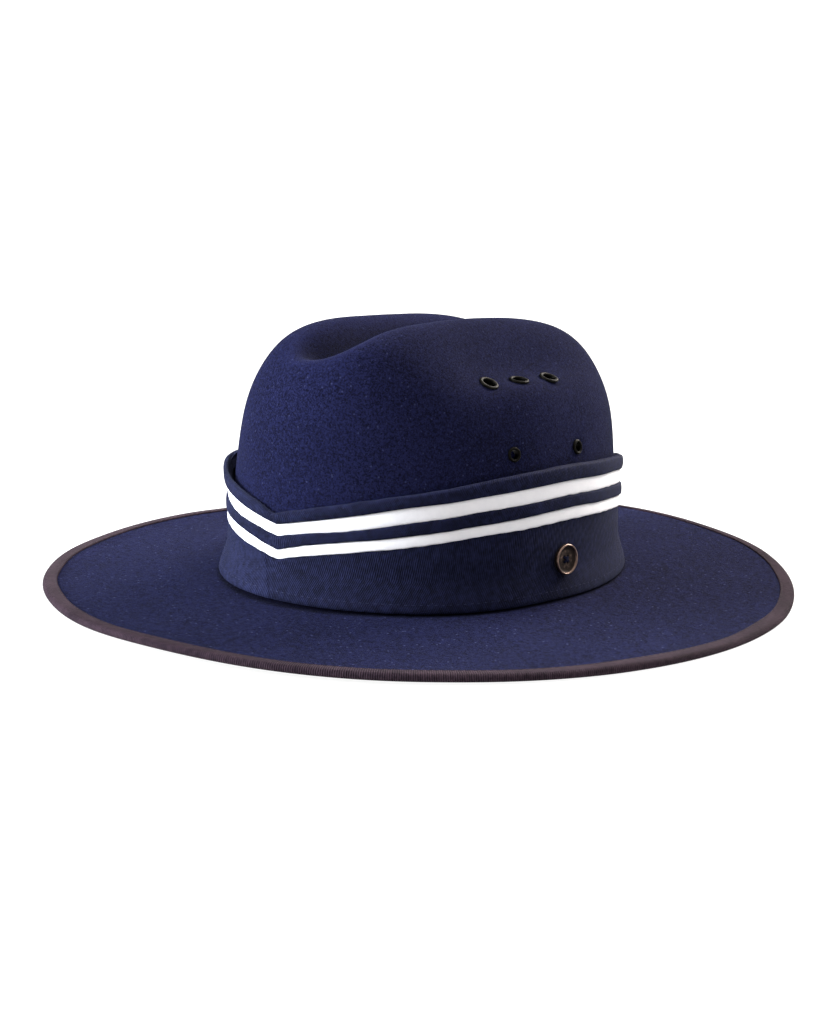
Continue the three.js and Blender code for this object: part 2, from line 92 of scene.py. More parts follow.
class Side(Enum):
    """Side of the wearer's head, as the sign of its turn angles."""

    LEFT = 1
    RIGHT = -1


# Shader maths


class Signal:
    """A number that varies over a surface, held as a shader socket."""

    def __init__(self, sheet: "FinishSheet", socket: NodeSocket) -> None:
        """Keeps the sheet that the socket is on.

        Args:
            sheet: The finish that is being drawn up.
            socket: The output socket that carries the number.
        """
        self.sheet = sheet
        self.socket = socket

    def maths(self, operation: str, left: "Signal | float", right: "Signal | float") -> "Signal":
        """Adds one Math node.

        Args:
            operation: The node's operation.
            left: First value.
            right: Second value.

        Returns:
            The node's result.
        """
        node = self.sheet.add("ShaderNodeMath", {"operation": operation}, {0: left, 1: right})
        return Signal(self.sheet, node.outputs[0])

    def __add__(self, other: "Signal | float") -> "Signal":
        """Sum."""
        return self.maths("ADD", self, other)

    def __sub__(self, other: "Signal | float") -> "Signal":
        """Difference."""
        return self.maths("SUBTRACT", self, other)

    def __rsub__(self, other: float) -> "Signal":
        """Difference, with the plain number first."""
        return self.maths("SUBTRACT", other, self)

    def __mul__(self, other: "Signal | float") -> "Signal":
        """Product."""
        return self.maths("MULTIPLY", self, other)

    def __truediv__(self, other: "Signal | float") -> "Signal":
        """Quotient."""
        return self.maths("DIVIDE", self, other)

    def __pow__(self, other: "Signal | float") -> "Signal":
        """Power."""
        return self.maths("POWER", self, other)

    __radd__ = __add__
    __rmul__ = __mul__

    def size(self) -> "Signal":
        """Value without its sign."""
        return self.maths("ABSOLUTE", self, 0.0)

    def wave(self) -> "Signal":
        """Sine of the value as whole turns, between 0 and 1."""
        return 0.5 + 0.5 * self.maths("SINE", math.tau * self, 0.0)

    def rise(self, low: float, high: float) -> "Signal":
        """Smooth step.

        Args:
            low: Value at which the step starts, with the result 0.
            high: Value at which it ends, with the result 1.

        Returns:
            The step, between 0 and 1.
        """
        settings = {"interpolation_type": "SMOOTHSTEP"}
        node = self.sheet.add("ShaderNodeMapRange", settings, {0: self, 1: low, 2: high, 3: 0.0, 4: 1.0})
        return Signal(self.sheet, node.outputs[0])


class NodeBoard:
    """A tree of nodes, built in code."""

    tree: NodeTree

    def add(self, kind: str, settings: dict | None = None, values: dict | None = None) -> Node:
        """Adds one node: its settings first, then what its sockets hold.

        Args:
            kind: The node's type.
            settings: Properties of the node.
            values: Numbers, colours, signals or sockets, by socket name or number.

        Returns:
            The node.
        """
        node = self.tree.nodes.new(kind)
        for key, value in (settings or {}).items():
            setattr(node, key, value)
        for key, value in (values or {}).items():
            socket = node.inputs[key]
            source = value.socket if isinstance(value, Signal) else value
            if isinstance(source, NodeSocket):
                self.tree.links.new(source, socket)
            else:
                socket.default_value = (*source, 1.0) if socket.type == "RGBA" else source
        return node


class FinishSheet(NodeBoard):
    """One material, drawn up node by node."""

    def __init__(self, name: str) -> None:
        """Starts an empty material.

        Args:
            name: The finish's name.
        """
        self.material = bpy.data.materials.new(name)
        self.material.use_nodes = True
        self.tree = self.material.node_tree
        self.tree.nodes.clear()

    def place(self) -> NodeSocket:
        """Point on the piece, in metres."""
        return self.add("ShaderNodeTexCoord").outputs["Object"]

    def cloth_place(self, layer: str = "cloth") -> tuple[Signal, Signal]:
        """Distances along and across a strip of cloth.

        Args:
            layer: The piece's UV map that holds them, in metres.

        Returns:
            The two distances.
        """
        uv = self.add("ShaderNodeUVMap", {"uv_map": layer})
        split = self.add("ShaderNodeSeparateXYZ", None, {0: uv.outputs[0]})
        return Signal(self, split.outputs[0]), Signal(self, split.outputs[1])

    def painted(self, layer: str) -> Signal:
        """A value painted on the mesh's points.

        Args:
            layer: The attribute's name.

        Returns:
            The value.
        """
        node = self.add("ShaderNodeAttribute", {"attribute_name": layer})
        return Signal(self, node.outputs["Fac"])

    def noise(self, grain_mm: float, detail: float = 2.0, twist: float = 0.0) -> Signal:
        """Cloudy noise between 0 and 1.

        Args:
            grain_mm: Size of its patches.
            detail: Finer layers on top.
            twist: How much the patches curl.

        Returns:
            The noise.
        """
        scale = 1 / (grain_mm * MM)
        values = {"Vector": self.place(), "Scale": scale, "Detail": detail, "Distortion": twist}
        return Signal(self, self.add("ShaderNodeTexNoise", None, values).outputs[0])

    def specks(self, spacing_mm: float, share: float, size: float) -> Signal:
        """Scattered small dots.

        Args:
            spacing_mm: Distance between possible dots.
            share: Share of those places that hold a dot.
            size: Radius of a dot as a share of the spacing.

        Returns:
            1 in a dot, 0 outside.
        """
        values = {"Vector": self.place(), "Scale": 1 / (spacing_mm * MM)}
        cells = self.add("ShaderNodeTexVoronoi", None, values)
        lot = self.add("ShaderNodeSeparateColor", None, {0: cells.outputs["Color"]})
        chosen = Signal(self, lot.outputs[0]).rise(1 - share, 1 - share + 0.02)
        dot = 1 - Signal(self, cells.outputs["Distance"]).rise(size * 0.4, size)
        return chosen * dot

    def blend(self, share: Signal, first: object, second: object) -> NodeSocket:
        """Mixes two colours.

        Args:
            share: 0 gives the first, 1 the second.
            first: A colour or a colour socket.
            second: A colour or a colour socket.

        Returns:
            The mixed colour.
        """
        settings = {"data_type": "RGBA", "clamp_factor": True}
        return self.add("ShaderNodeMix", settings, {0: share, 6: first, 7: second}).outputs[2]

    def relief(self, height: Signal, depth_mm: float) -> NodeSocket:
        """Bump from a height between 0 and 1.

        Args:
            height: The height.
            depth_mm: How far 1 stands above 0.

        Returns:
            The bent normal.
        """
        values = {"Strength": 1.0, "Distance": depth_mm * MM, "Height": height}
        return self.add("ShaderNodeBump", None, values).outputs[0]

    def close(self, values: dict) -> Material:
        """Ends the sheet in one surface shader.

        Args:
            values: What the shader's sockets hold.

        Returns:
            The finished material.
        """
        shader = self.add("ShaderNodeBsdfPrincipled", None, values)
        self.add("ShaderNodeOutputMaterial", None, {0: shader.outputs[0]})
        return self.material


# Finishes


@dataclass(frozen=True)
class WoolFelt:
    """Short-napped wool felt, mottled, with a few pale fibres."""

    name: str = "navy_wool_felt"
    deep: Colour = (0.0022, 0.0023, 0.0092)
    raised: Colour = (0.0080, 0.0094, 0.0370)
    fibre: Colour = (0.034, 0.038, 0.095)
    shadow: Colour = (0.0008, 0.0008, 0.0025)
    sheen: Colour = (0.5, 0.55, 1.0)
    patch_mm: float = 34.0
    tuft_mm: float = 2.3
    fleck_mm: float = 1.05
    nap_mm: float = 0.58
    nap_depth_mm: float = 0.38
    roughness: float = 0.92
    brim_below_mm: tuple[float, float] = (26.0, 38.0)
    crown_half_mm: tuple[float, float] = (81.2, 100.0)
    # Reach of the painted shadow round the crown's foot, as shares of the crown's half axes.
    corner_reach: tuple[float, float] = (1.045, 1.078)

    def zones(self, sheet: FinishSheet) -> tuple[Signal, Signal]:
        """Finds the brim, and the corner where it meets the crown, which takes painted shadow under the
        band's foot.

        Args:
            sheet: The finish that is being drawn up.

        Returns:
            1 on the brim, and 1 in the corner.
        """
        split = sheet.add("ShaderNodeSeparateXYZ", None, {0: sheet.place()})
        x, y, z = (Signal(sheet, socket) for socket in split.outputs)
        low, high = self.brim_below_mm
        brim = 1 - z.rise(low * MM, high * MM)
        half_x, half_y = self.crown_half_mm
        reach = ((x / (half_x * MM)) ** 2 + (y / (half_y * MM)) ** 2) ** 0.5
        return brim, brim * (1 - reach.rise(*self.corner_reach))

    def make(self) -> Material:
        """Draws up the felt: its nap, its lint, painted shade along the crease and under the band, and a
        painted highlight on the crease's ridge.

        Returns:
            The felt.
        """
        sheet = FinishSheet(self.name)
        brim, corner = self.zones(sheet)
        patch = sheet.noise(self.patch_mm)
        tuft = sheet.noise(self.tuft_mm, 3.0)
        nap = sheet.noise(self.nap_mm, 3.0, 0.8)
        fleck = sheet.noise(self.fleck_mm, 2.0, 0.6)
        curl = sheet.noise(self.nap_mm * 1.7, 1.0, 3.0)
        hair = 1 - (curl * 2 - 1).size().rise(0.0, 0.14)
        pressed = sheet.painted("pressed")
        # Painted highlight along the crease's ridge, lighter also as rubbed wear.
        wear_and_highlight = pressed.rise(0.02, 0.14) * (1 - pressed.rise(0.14, 0.5))
        grain = 3.3 * (nap - 0.5) + 3.0 * (fleck - 0.5) + (0.3 + 2.6 * brim) * (tuft - 0.5)
        tone = 0.50 + grain + 0.6 * (patch - 0.5) + 0.28 * wear_and_highlight
        cloth = sheet.blend(tone, self.deep, self.raised)
        lint = 0.24 * sheet.specks(1.15, 0.30, 0.34)
        lint += (0.42 + 0.9 * brim) * sheet.specks(2.9, 0.30, 0.21)
        linty = sheet.blend(lint + hair * 0.14, cloth, self.fibre)
        # Painted shade: painted shadow in the corner under the band's foot, and painted shade deep in the
        # crease.
        painted_shade = 0.85 * corner + 0.5 * pressed.rise(0.14, 0.8)
        return sheet.close({
            "Base Color": sheet.blend(painted_shade, linty, self.shadow),
            "Roughness": self.roughness + 0.12 * (nap - 0.5),
            "Specular IOR Level": 0.02,
            "Sheen Weight": 0.034,
            "Sheen Roughness": 0.18,
            "Sheen Tint": self.sheen,
            "Normal": sheet.relief(0.5 * nap + 0.5 * fleck + 0.3 * tuft + 0.2 * hair, self.nap_depth_mm),
        })


@dataclass(frozen=True)
class TwillCloth:
    """Navy cloth with fine diagonal ribs and uneven yarn."""

    name: str = "navy_twill_cloth"
    valley: Colour = (0.0022, 0.0026, 0.0090)
    ridge: Colour = (0.0125, 0.0148, 0.0450)
    lint: Colour = (0.05, 0.055, 0.11)
    sheen: Colour = (0.55, 0.6, 1.0)
    pitch_mm: float = 0.82
    float_pitches: float = 1.6
    slant_deg: float = 62.0
    slub_mm: float = 2.2
    patch_mm: float = 16.0
    depth_mm: float = 0.21

    def make(self) -> Material:
        """Draws up the twill, with painted light on the lap's upper panel and painted shade beside the lap.

        Returns:
            The twill.
        """
        sheet = FinishSheet(self.name)
        along, up = sheet.cloth_place()
        cosine, sine = math.cos(math.radians(self.slant_deg)), math.sin(math.radians(self.slant_deg))
        pitch = self.pitch_mm * MM
        slub = sheet.noise(self.slub_mm)
        across = (along * sine - up * cosine) / pitch + 0.5 * slub
        float_step = (along * cosine + up * sine) / (self.float_pitches * pitch) + across * 0.5
        yarn = across.wave() * (0.62 + 0.38 * float_step.wave())
        patch = sheet.noise(self.patch_mm)
        # Painted light on the lap's upper panel and painted shade beside the lap.
        lap_light_and_shade = 0.19 * sheet.painted("lap_shading")
        tone = 0.06 + 0.82 * yarn + 1.5 * (slub - 0.5) + 0.7 * (patch - 0.5) + lap_light_and_shade
        cloth = sheet.blend(tone, self.valley, self.ridge)
        return sheet.close({
            "Base Color": sheet.blend(sheet.specks(3.1, 0.22, 0.12) * 0.35, cloth, self.lint),
            "Roughness": 0.80 + 0.12 * (slub - 0.5),
            "Specular IOR Level": 0.04,
            "Sheen Weight": 0.05,
            "Sheen Roughness": 0.35,
            "Sheen Tint": self.sheen,
            "Normal": sheet.relief(yarn, self.depth_mm),
        })


@dataclass(frozen=True)
class PaleTape:
    """Smooth off-white tape with a fine cross rib."""

    name: str = "pale_cotton_tape"
    shade: Colour = (0.66, 0.655, 0.70)
    light: Colour = (0.83, 0.82, 0.85)
    pitch_mm: float = 0.55
    depth_mm: float = 0.05

    def make(self) -> Material:
        """Draws up the tape.

        Returns:
            The tape's finish.
        """
        sheet = FinishSheet(self.name)
        along, up = sheet.cloth_place()
        slub = sheet.noise(1.6)
        rib = (along / (self.pitch_mm * MM) + 0.6 * slub).wave()
        pick = (up / (0.7 * self.pitch_mm * MM) + 0.4 * slub).wave()
        weave = 0.65 * rib + 0.35 * pick
        patch = sheet.noise(9.0)
        tone = 0.45 + 0.35 * weave + 0.8 * (patch - 0.5) + 0.3 * (slub - 0.5)
        return sheet.close({
            "Base Color": sheet.blend(tone, self.shade, self.light),
            "Roughness": 0.72 + 0.15 * (slub - 0.5),
            "Specular IOR Level": 0.3,
            "Sheen Weight": 0.1,
            "Normal": sheet.relief(weave, self.depth_mm),
        })


@dataclass(frozen=True)
class RibbedRibbon:
    """Dark plum ribbon with fine ribs across it."""

    name: str = "plum_ribbed_ribbon"
    valley: Colour = (0.0062, 0.0038, 0.0070)
    ridge: Colour = (0.0400, 0.0250, 0.0355)
    pitch_mm: float = 0.95
    depth_mm: float = 0.30

    def make(self) -> Material:
        """Draws up the ribbon.

        Returns:
            The ribbon's finish.
        """
        sheet = FinishSheet(self.name)
        along, across = sheet.cloth_place()
        slub = sheet.noise(2.0)
        rib = (along / (self.pitch_mm * MM) + 0.25 * slub).wave() ** 0.7
        warp = (across / (0.42 * MM) + 0.3 * slub).wave()
        patch = sheet.noise(22.0)
        height = rib * (0.8 + 0.2 * warp)
        tone = 0.05 + 0.75 * height + 1.2 * (slub - 0.5) + 0.9 * (patch - 0.5)
        return sheet.close({
            "Base Color": sheet.blend(tone, self.valley, self.ridge),
            "Roughness": 0.82 + 0.2 * (slub - 0.5),
            "Specular IOR Level": 0.03,
            "Sheen Weight": 0.05,
            "Sheen Roughness": 0.3,
            "Sheen Tint": (1.0, 0.8, 0.85),
            "Normal": sheet.relief(height, self.depth_mm),
        })


@dataclass(frozen=True)
class AgedMetal:
    """Antique metal: dark in its hollows, rubbed bright where the mesh is painted as worn."""

    name: str
    tarnish: Colour
    bright: Colour
    roughness: float = 0.34
    worn_from: float = 0.15
    edge_tint: Colour = (1.0, 1.0, 1.0)

    def make(self) -> Material:
        """Draws up the metal.

        Returns:
            The metal's finish.
        """
        sheet = FinishSheet(self.name)
        cloud = sheet.noise(1.3, 3.0)
        grit = sheet.noise(0.22)
        wear_and_highlight = sheet.painted("worn") + 0.9 * (cloud - 0.5) + 0.35 * (grit - 0.5)
        share = wear_and_highlight.rise(self.worn_from, self.worn_from + 0.7)
        return sheet.close({
            "Base Color": sheet.blend(share, self.tarnish, self.bright),
            "Metallic": 0.75 + 0.25 * share,
            "Specular Tint": self.edge_tint,
            "Roughness": self.roughness + 0.28 * (1 - share) + 0.15 * (grit - 0.5),
            "Normal": sheet.relief(0.6 * grit + 0.4 * cloud, 0.05),
        })


@dataclass(frozen=True)
class SewingThread:
    """Twisted sewing thread."""

    name: str
    dark: Colour
    light: Colour

    def make(self) -> Material:
        """Draws up the thread.

        Returns:
            The thread's finish.
        """
        sheet = FinishSheet(self.name)
        ply = sheet.noise(0.25, twist=1.0)
        return sheet.close({
            "Base Color": sheet.blend(1.6 * ply - 0.3, self.dark, self.light),
            "Roughness": 0.7 + 0.2 * (ply - 0.5),
            "Specular IOR Level": 0.05,
            "Sheen Weight": 0.02,
            "Normal": sheet.relief(ply, 0.06),
        })


@dataclass(frozen=True)
class StudioFloor:
    """Pale matt top of a light table, with the faintest grain."""

    name: str = "pale_floor"
    colour: Colour = (0.21, 0.21, 0.21)
    shade: Colour = (0.20, 0.20, 0.20)
    glow: Colour = (1.0, 1.0, 1.0)
    dim_glow: Colour = (0.985, 0.985, 0.985)
    glow_strength: float = 0.93

    def make(self) -> Material:
        """Draws up the floor.

        Returns:
            The floor's finish.
        """
        sheet = FinishSheet(self.name)
        grain = sheet.noise(40.0)
        return sheet.close({
            "Base Color": sheet.blend(grain, self.colour, self.shade),
            "Emission Color": sheet.blend(grain, self.glow, self.dim_glow),
            "Emission Strength": self.glow_strength,
            "Roughness": 0.9 + 0.05 * (grain - 0.5),
            "Specular IOR Level": 0.0,
        })


# Surfaces of the hat


def smooth(x: Array) -> Array:
    """Smooth step from 0 to 1."""
    x = np.clip(x, 0, 1)
    return x * x * (3 - 2 * x)


def bell(x: Array, power: float = 2.0) -> Array:
    """Bell curve of height 1."""
    return np.exp(-(np.abs(x) ** power))


def along_curve(stops: Array, values: Array, at: Array) -> Array:
    """Smooth curve through the rows of a table.

    Args:
        stops: Where the rows stand.
        values: What they hold.
        at: Where to read the curve.

    Returns:
        The values there.
    """
    last = len(stops) - 1
    at = np.clip(at, stops[0], stops[-1])
    row = np.clip(np.searchsorted(stops, at, side="right") - 1, 0, last - 1)
    before = np.maximum(np.arange(last + 1) - 1, 0)
    after = np.minimum(np.arange(last + 1) + 1, last)
    slopes = (values[after] - values[before]) / (stops[after] - stops[before])
    span = stops[row + 1] - stops[row]
    t = (at - stops[row]) / span
    from_row = (2 * t**3 - 3 * t**2 + 1) * values[row] + (t**3 - 2 * t**2 + t) * span * slopes[row]
    to_row = (3 * t**2 - 2 * t**3) * values[row + 1] + (t**3 - t**2) * span * slopes[row + 1]
    return from_row + to_row


def degrees_from_front(turn: Array) -> Array:
    """Turn in degrees, from -180 to 180."""
    return np.degrees(np.arctan2(np.sin(turn), np.cos(turn)))


def ring_wobble(turn: Array, size: float, seed: int, waves: tuple[int, int] = (4, 30)) -> Array:
    """Small unevenness that closes on itself round the head.

    Args:
        turn: Where to read it.
        size: Its usual size.
        seed: Picks one of many such curves.
        waves: Fewest and most waves round the head.

    Returns:
        The offsets.
    """
    rng = np.random.default_rng(seed)
    total = np.zeros_like(turn)
    counts = rng.integers(waves[0], waves[1], 9)
    for count, start in zip(counts, rng.uniform(0, math.tau, 9)):
        total = total + np.sin(count * turn + start)
    return total * size / 3


@dataclass(frozen=True)
class Swell:
    """A smooth swell round the head."""

    height: float
    middle_deg: float
    half_width_deg: float

    def at(self, turn: Array) -> Array:
        """Its height at a turn."""
        return self.height * bell((degrees_from_front(turn) - self.middle_deg) / self.half_width_deg)


@dataclass
class BandEdge:
    """Heights of the band's five edges at one turn, in millimetres above the table."""

    turn: float
    lower_from: float
    lower_to: float
    upper_from: float
    upper_to: float
    top: float


@dataclass
class HatForm:
    """The surfaces that the felt, its binding and its band share, in millimetres."""

    felt: float = 2.2
    crown_length: float = 100.0
    crown_width: float = 81.2
    brim_length: float = 184.7
    brim_width: float = 166.3
    brim_square: float = 0.004
    edge_height: float = 2.2
    front_lift: float = 1.6
    back_lift: float = 5.0
    front_raise: Swell = Swell(1.7, 5.0, 17.0)
    back_droop: float = 1.1
    droop_from: float = 0.88
    side_flat: float = 0.34
    end_power: float = 1.3
    level_share: float = 0.1
    rise_power: float = 1.5
    inner_top: float = 9.2
    inner_tilt: float = 0.015
    crown_base: float = 9.6
    crown_top: float = 126.3
    square_front: float = 6.3
    square_side: float = 3.65
    square_back: float = 6.7
    square_front_corner: float = 3.4
    square_back_corner: float = 5.1
    lean_front: float = 0.023
    lean_side: float = 0.075
    lean_back: float = 0.034
    dome_start: float = 0.45
    dome_blend: float = 0.45
    end_reach: float = 80.0
    end_drop: float = 5.7
    back_drop: float = 1.8
    back_fall: float = 0.064
    left_raise: float = 1.7
    raise_reach: float = 15.0
    crease_depth: float = 18.3
    crease_half_width: float = 14.2
    crease_power: float = 2.2
    crease_front: float = -81.1
    crease_front_blend: float = 28.0
    crease_back: float = 63.8
    crease_back_blend: float = 60.0
    hollow_depth: float = 14.4
    hollow_across: float = 50.3
    hollow_along: float = -6.5
    hollow_half_width: float = 14.0
    hollow_half_length: float = 47.5
    sway_size: float = 0.16
    sway_seed: int = 11
    sway_waves: tuple[float, ...] = (150.0, 95.0, 62.0, 41.0)
    sway_from: float = 3.0

    def oval(self, turn: Array, reach: Array) -> tuple[Array, Array]:
        """Place on the crown's oval, seen from above.

        Args:
            turn: Turn from the front.
            reach: Share of the way from the middle to the wall's foot.

        Returns:
            How far it is to the wearer's left, and how far back.
        """
        return self.crown_width * np.sin(turn) * reach, -self.crown_length * np.cos(turn) * reach

    def outward(self, turn: Array) -> Array:
        """Direction straight out of the crown, seen from above.

        Args:
            turn: Turn from the front.

        Returns:
            The level directions.
        """
        flat = np.stack([np.sin(turn) / self.crown_width, -np.cos(turn) / self.crown_length], -1)
        flat /= np.linalg.norm(flat, axis=-1, keepdims=True)
        return np.concatenate([flat, np.zeros_like(flat[..., :1])], -1)

    def brim_middle(self, turn: Array, share: Array) -> Array:
        """Middle of the brim's thickness.

        Args:
            turn: Turn from the front.
            share: Share of the way from crown to edge.

        Returns:
            The points.
        """
        grow = 1 + self.brim_square * np.cos(4 * turn) * share
        length = self.crown_length + (self.brim_length - self.crown_length) * share
        width = self.crown_width + (self.brim_width - self.crown_width) * share
        reach = np.maximum(0, np.abs(np.cos(turn)) - self.side_flat) / (1 - self.side_flat)
        lift = np.where(np.cos(turn) > 0, self.front_lift, self.back_lift)
        edge = self.edge_height + lift * reach**self.end_power
        raised = self.front_raise.at(turn) * share**2
        droop = self.back_droop * (1 - np.cos(turn)) / 2
        bent = (np.maximum(0, share - self.droop_from) / (1 - self.droop_from)) ** 2
        inner = self.inner_top - self.felt / 2 - self.inner_tilt * self.crown_length * np.cos(turn)
        level_from = 1 - self.level_share
        climb = (np.maximum(0, level_from - share) / level_from) ** self.rise_power
        x = width * np.sin(turn) * grow
        y = -length * np.cos(turn) * grow
        return np.stack([x, y, edge + (inner - edge) * climb + raised - droop * bent], -1)

    def brim_top(self, turn: Array, outward: Array | float = 0.0) -> Array:
        """Height of the brim's upper face at a distance from the crown."""
        share = np.asarray(outward) / (self.brim_width - self.crown_width)
        return self.brim_middle(turn, share + 0 * turn)[..., 2] + self.felt / 2

    def shoulder(self, turn: Array) -> tuple[Array, Array]:
        """How square the crown's shoulder is, and how far its wall leans in.

        Args:
            turn: Turn from the front.

        Returns:
            The power of the dome curve and the lean at its top.
        """
        across = np.sin(turn) ** 2
        ahead = np.maximum(0, np.cos(turn)) ** 2
        behind = np.maximum(0, -np.cos(turn)) ** 2
        power = self.square_front * ahead**2 + self.square_side * across**2 + self.square_back * behind**2
        power = power + 2 * across * (self.square_front_corner * ahead + self.square_back_corner * behind)
        return power, self.lean_front * ahead + self.lean_side * across + self.lean_back * behind

    def crease_share(self, x: Array, y: Array) -> Array:
        """How deep in the crease a place is, from 0 outside to 1 along its middle.

        Args:
            x: How far the place is to the wearer's left.
            y: How far back it is.

        Returns:
            The share.
        """
        front = smooth((y - self.crease_front + self.crease_front_blend / 2) / self.crease_front_blend)
        back = smooth((self.crease_back + self.crease_back_blend / 2 - y) / self.crease_back_blend)
        return front * back * bell(x / self.crease_half_width, self.crease_power)

    def dent(self, x: Array, y: Array) -> Array:
        """How far the crease and the two side hollows press the dome down.

        Args:
            x: How far the place is to the wearer's left.
            y: How far back it is.

        Returns:
            The depth.
        """
        across = bell((np.abs(x) - self.hollow_across) / self.hollow_half_width)
        along = bell((y - self.hollow_along) / self.hollow_half_length)
        return self.crease_depth * self.crease_share(x, y) + self.hollow_depth * across * along

    def crown(self, turn: Array, climb: Array) -> Array:
        """Outer surface of the crown.

        Args:
            turn: Turn from the front.
            climb: Angle of the dome curve in degrees, 0 at the wall's foot and 90 on top.

        Returns:
            The points.
        """
        power, lean = self.shoulder(turn)
        slope = np.tan(np.minimum(np.radians(climb), math.pi / 2 - 1e-5))
        height = slope / (1 + slope**power) ** (1 / power)
        reach = np.maximum(0, 1 - height**power) ** (1 / power) * (1 - lean * height)
        x, y = self.oval(turn, reach)
        dome = smooth((height - self.dome_start) / self.dome_blend)
        end = y / self.end_reach
        fall = self.end_drop * end**2 + self.back_drop * end**3 + self.back_fall * y
        lift = self.left_raise * np.tanh(x / self.raise_reach)
        z = self.crown_base + (self.crown_top - self.crown_base) * height
        return np.stack([x, y, z - dome * (fall + self.dent(x, y) - lift)], -1)

    def crown_normal(self, turn: float, climb: float) -> Array:
        """Direction straight out of the crown's surface at a place.

        Args:
            turn: Turn from the front.
            climb: Angle of the dome curve in degrees.

        Returns:
            The direction.
        """
        step = 0.01
        around = self.crown(np.array(turn + step), climb) - self.crown(np.array(turn - step), climb)
        upward = self.crown(np.array(turn), climb + 1) - self.crown(np.array(turn), climb - 1)
        normal = np.cross(around, upward)
        return normal / np.linalg.norm(normal)

    def wall(self, turn: Array, z: Array, outward: Array) -> Array:
        """Point at a distance from the crown's upright wall.

        Args:
            turn: Turn from the front.
            z: Height above the table.
            outward: Distance outward from the felt.

        Returns:
            The points.
        """
        power, lean = self.shoulder(turn)
        height = np.maximum(0, (z - self.crown_base) / (self.crown_top - self.crown_base))
        reach = (1 - height**power) ** (1 / power) * (1 - lean * height)
        x, y = self.oval(turn, reach)
        base = np.stack([x, y, z + 0 * x], -1)
        return base + self.outward(turn) * np.asarray(outward)[..., None]

    def sway(self, points: Array) -> Array:
        """Bends every piece alike by the slight unevenness of a hand-shaped hat.

        Args:
            points: The points, as the surfaces give them.

        Returns:
            The bent points. On the table they stay where they are.
        """
        rng = np.random.default_rng(self.sway_seed)
        moved = points.copy()
        for wavelength in self.sway_waves:
            for axis in range(3):
                wave = rng.normal(size=3)
                wave *= math.tau / (wavelength * np.linalg.norm(wave))
                moved[..., axis] += self.sway_size * np.sin(points @ wave + rng.uniform(0, math.tau))
        free = points[..., 2:3] / (points[..., 2:3] + self.sway_from)
        return points + (moved - points) * np.clip(free, 0, 1)


# Making of pieces


def ring_mesh(name: str, sections: Array, along: Array, across: Array) -> Mesh:
    """Closed ring swept round the head.

    Args:
        name: The mesh's name.
        sections: Points by turn and by place on the closed outline, in millimetres.
        along: Distance round the head at each turn, with one more for the last edge.
        across: Distance over the cloth at each outline place, with one more for the last edge.

    Returns:
        The mesh, with its distances in metres as a UV map.
    """
    turns, count = sections.shape[:2]
    i, k = np.meshgrid(np.arange(turns), np.arange(count), indexing="ij")
    next_i, next_k = (i + 1) % turns, (k + 1) % count
    corners = [(i, k), (next_i, k), (next_i, next_k), (i, next_k)]
    faces = np.stack([a * count + b for a, b in corners], -1).reshape(-1, 4)
    mesh = bpy.data.meshes.new(name)
    mesh.from_pydata((sections.reshape(-1, 3) * MM).tolist(), [], faces.tolist())
    steps = [(i, k), (i + 1, k), (i + 1, k + 1), (i, k + 1)]
    uv = np.stack([np.stack([along[a], across[b]], -1) for a, b in steps], -2)
    mesh.uv_layers.new(name="cloth").data.foreach_set("uv", (uv * MM).ravel())
    return mesh


def girth(points: Array) -> Array:
    """Distance round a closed line at each of its points, with the whole length last."""
    steps = np.linalg.norm(np.roll(points, -1, axis=0) - points, axis=-1)
    return np.concatenate([[0.0], np.cumsum(steps)])


def lathe(outline: list[tuple[float, float, float]], sides: int) -> tuple[Array, list, Array]:
    """Turned shape about +Z from a closed outline.

    Args:
        outline: Radius, height and wear of each corner, counter-clockwise with the axis at the left.
        sides: Facets round the axis.

    Returns:
        Points, faces and the wear of each point.
    """
    radius, height, worn = np.array(outline).T
    angle = np.linspace(0, math.tau, sides, endpoint=False)
    x = np.outer(np.cos(angle), radius)
    y = np.outer(np.sin(angle), radius)
    points = np.stack([x, y, np.broadcast_to(height, x.shape)], -1)
    count = len(outline)
    faces = []
    for i in range(sides):
        j = (i + 1) % sides
        faces += [
            (i * count + k, j * count + k, j * count + (k + 1) % count, i * count + (k + 1) % count)
            for k in range(count)
        ]
    return points.reshape(-1, 3), faces, np.tile(worn, sides)


def arc(
    centre: tuple[float, float], radii: tuple[float, float], span_deg: tuple[float, float], steps: int
) -> list[tuple[float, float]]:
    """Points on a stretch of an oval.

    Args:
        centre: Middle of the oval.
        radii: Its two half axes.
        span_deg: First and last angle.
        steps: Number of stretches between points.

    Returns:
        The points as pairs.
    """
    angles = np.radians(np.linspace(*span_deg, steps + 1))
    return [(centre[0] + radii[0] * math.cos(a), centre[1] + radii[1] * math.sin(a)) for a in angles]


def mirrored(half: Profile) -> list[tuple[float, float]]:
    """Whole section of a strip from its lower half: share of the strip's width, and thickness."""
    return [*half, *[(1 - share, thick) for share, thick in half[-2::-1]]]


def turn_to(normal: Array) -> Array:
    """Rotation that turns +Z to a direction and keeps one side level.

    Args:
        normal: The direction.

    Returns:
        The rotation, as a matrix.
    """
    across = np.cross([0.0, 0.0, 1.0], normal)
    across /= np.linalg.norm(across)
    return np.stack([across, np.cross(normal, across), normal], -1)


def tidy_mesh(mesh: Mesh) -> Mesh:
    """Merges doubled points and drops faces without area.

    Args:
        mesh: The mesh to tidy.

    Returns:
        The same mesh.
    """
    work = bmesh.new()
    work.from_mesh(mesh)
    bmesh.ops.remove_doubles(work, verts=work.verts, dist=1e-7)
    bmesh.ops.dissolve_degenerate(work, edges=work.edges, dist=1e-7)
    work.to_mesh(mesh)
    work.free()
    return mesh


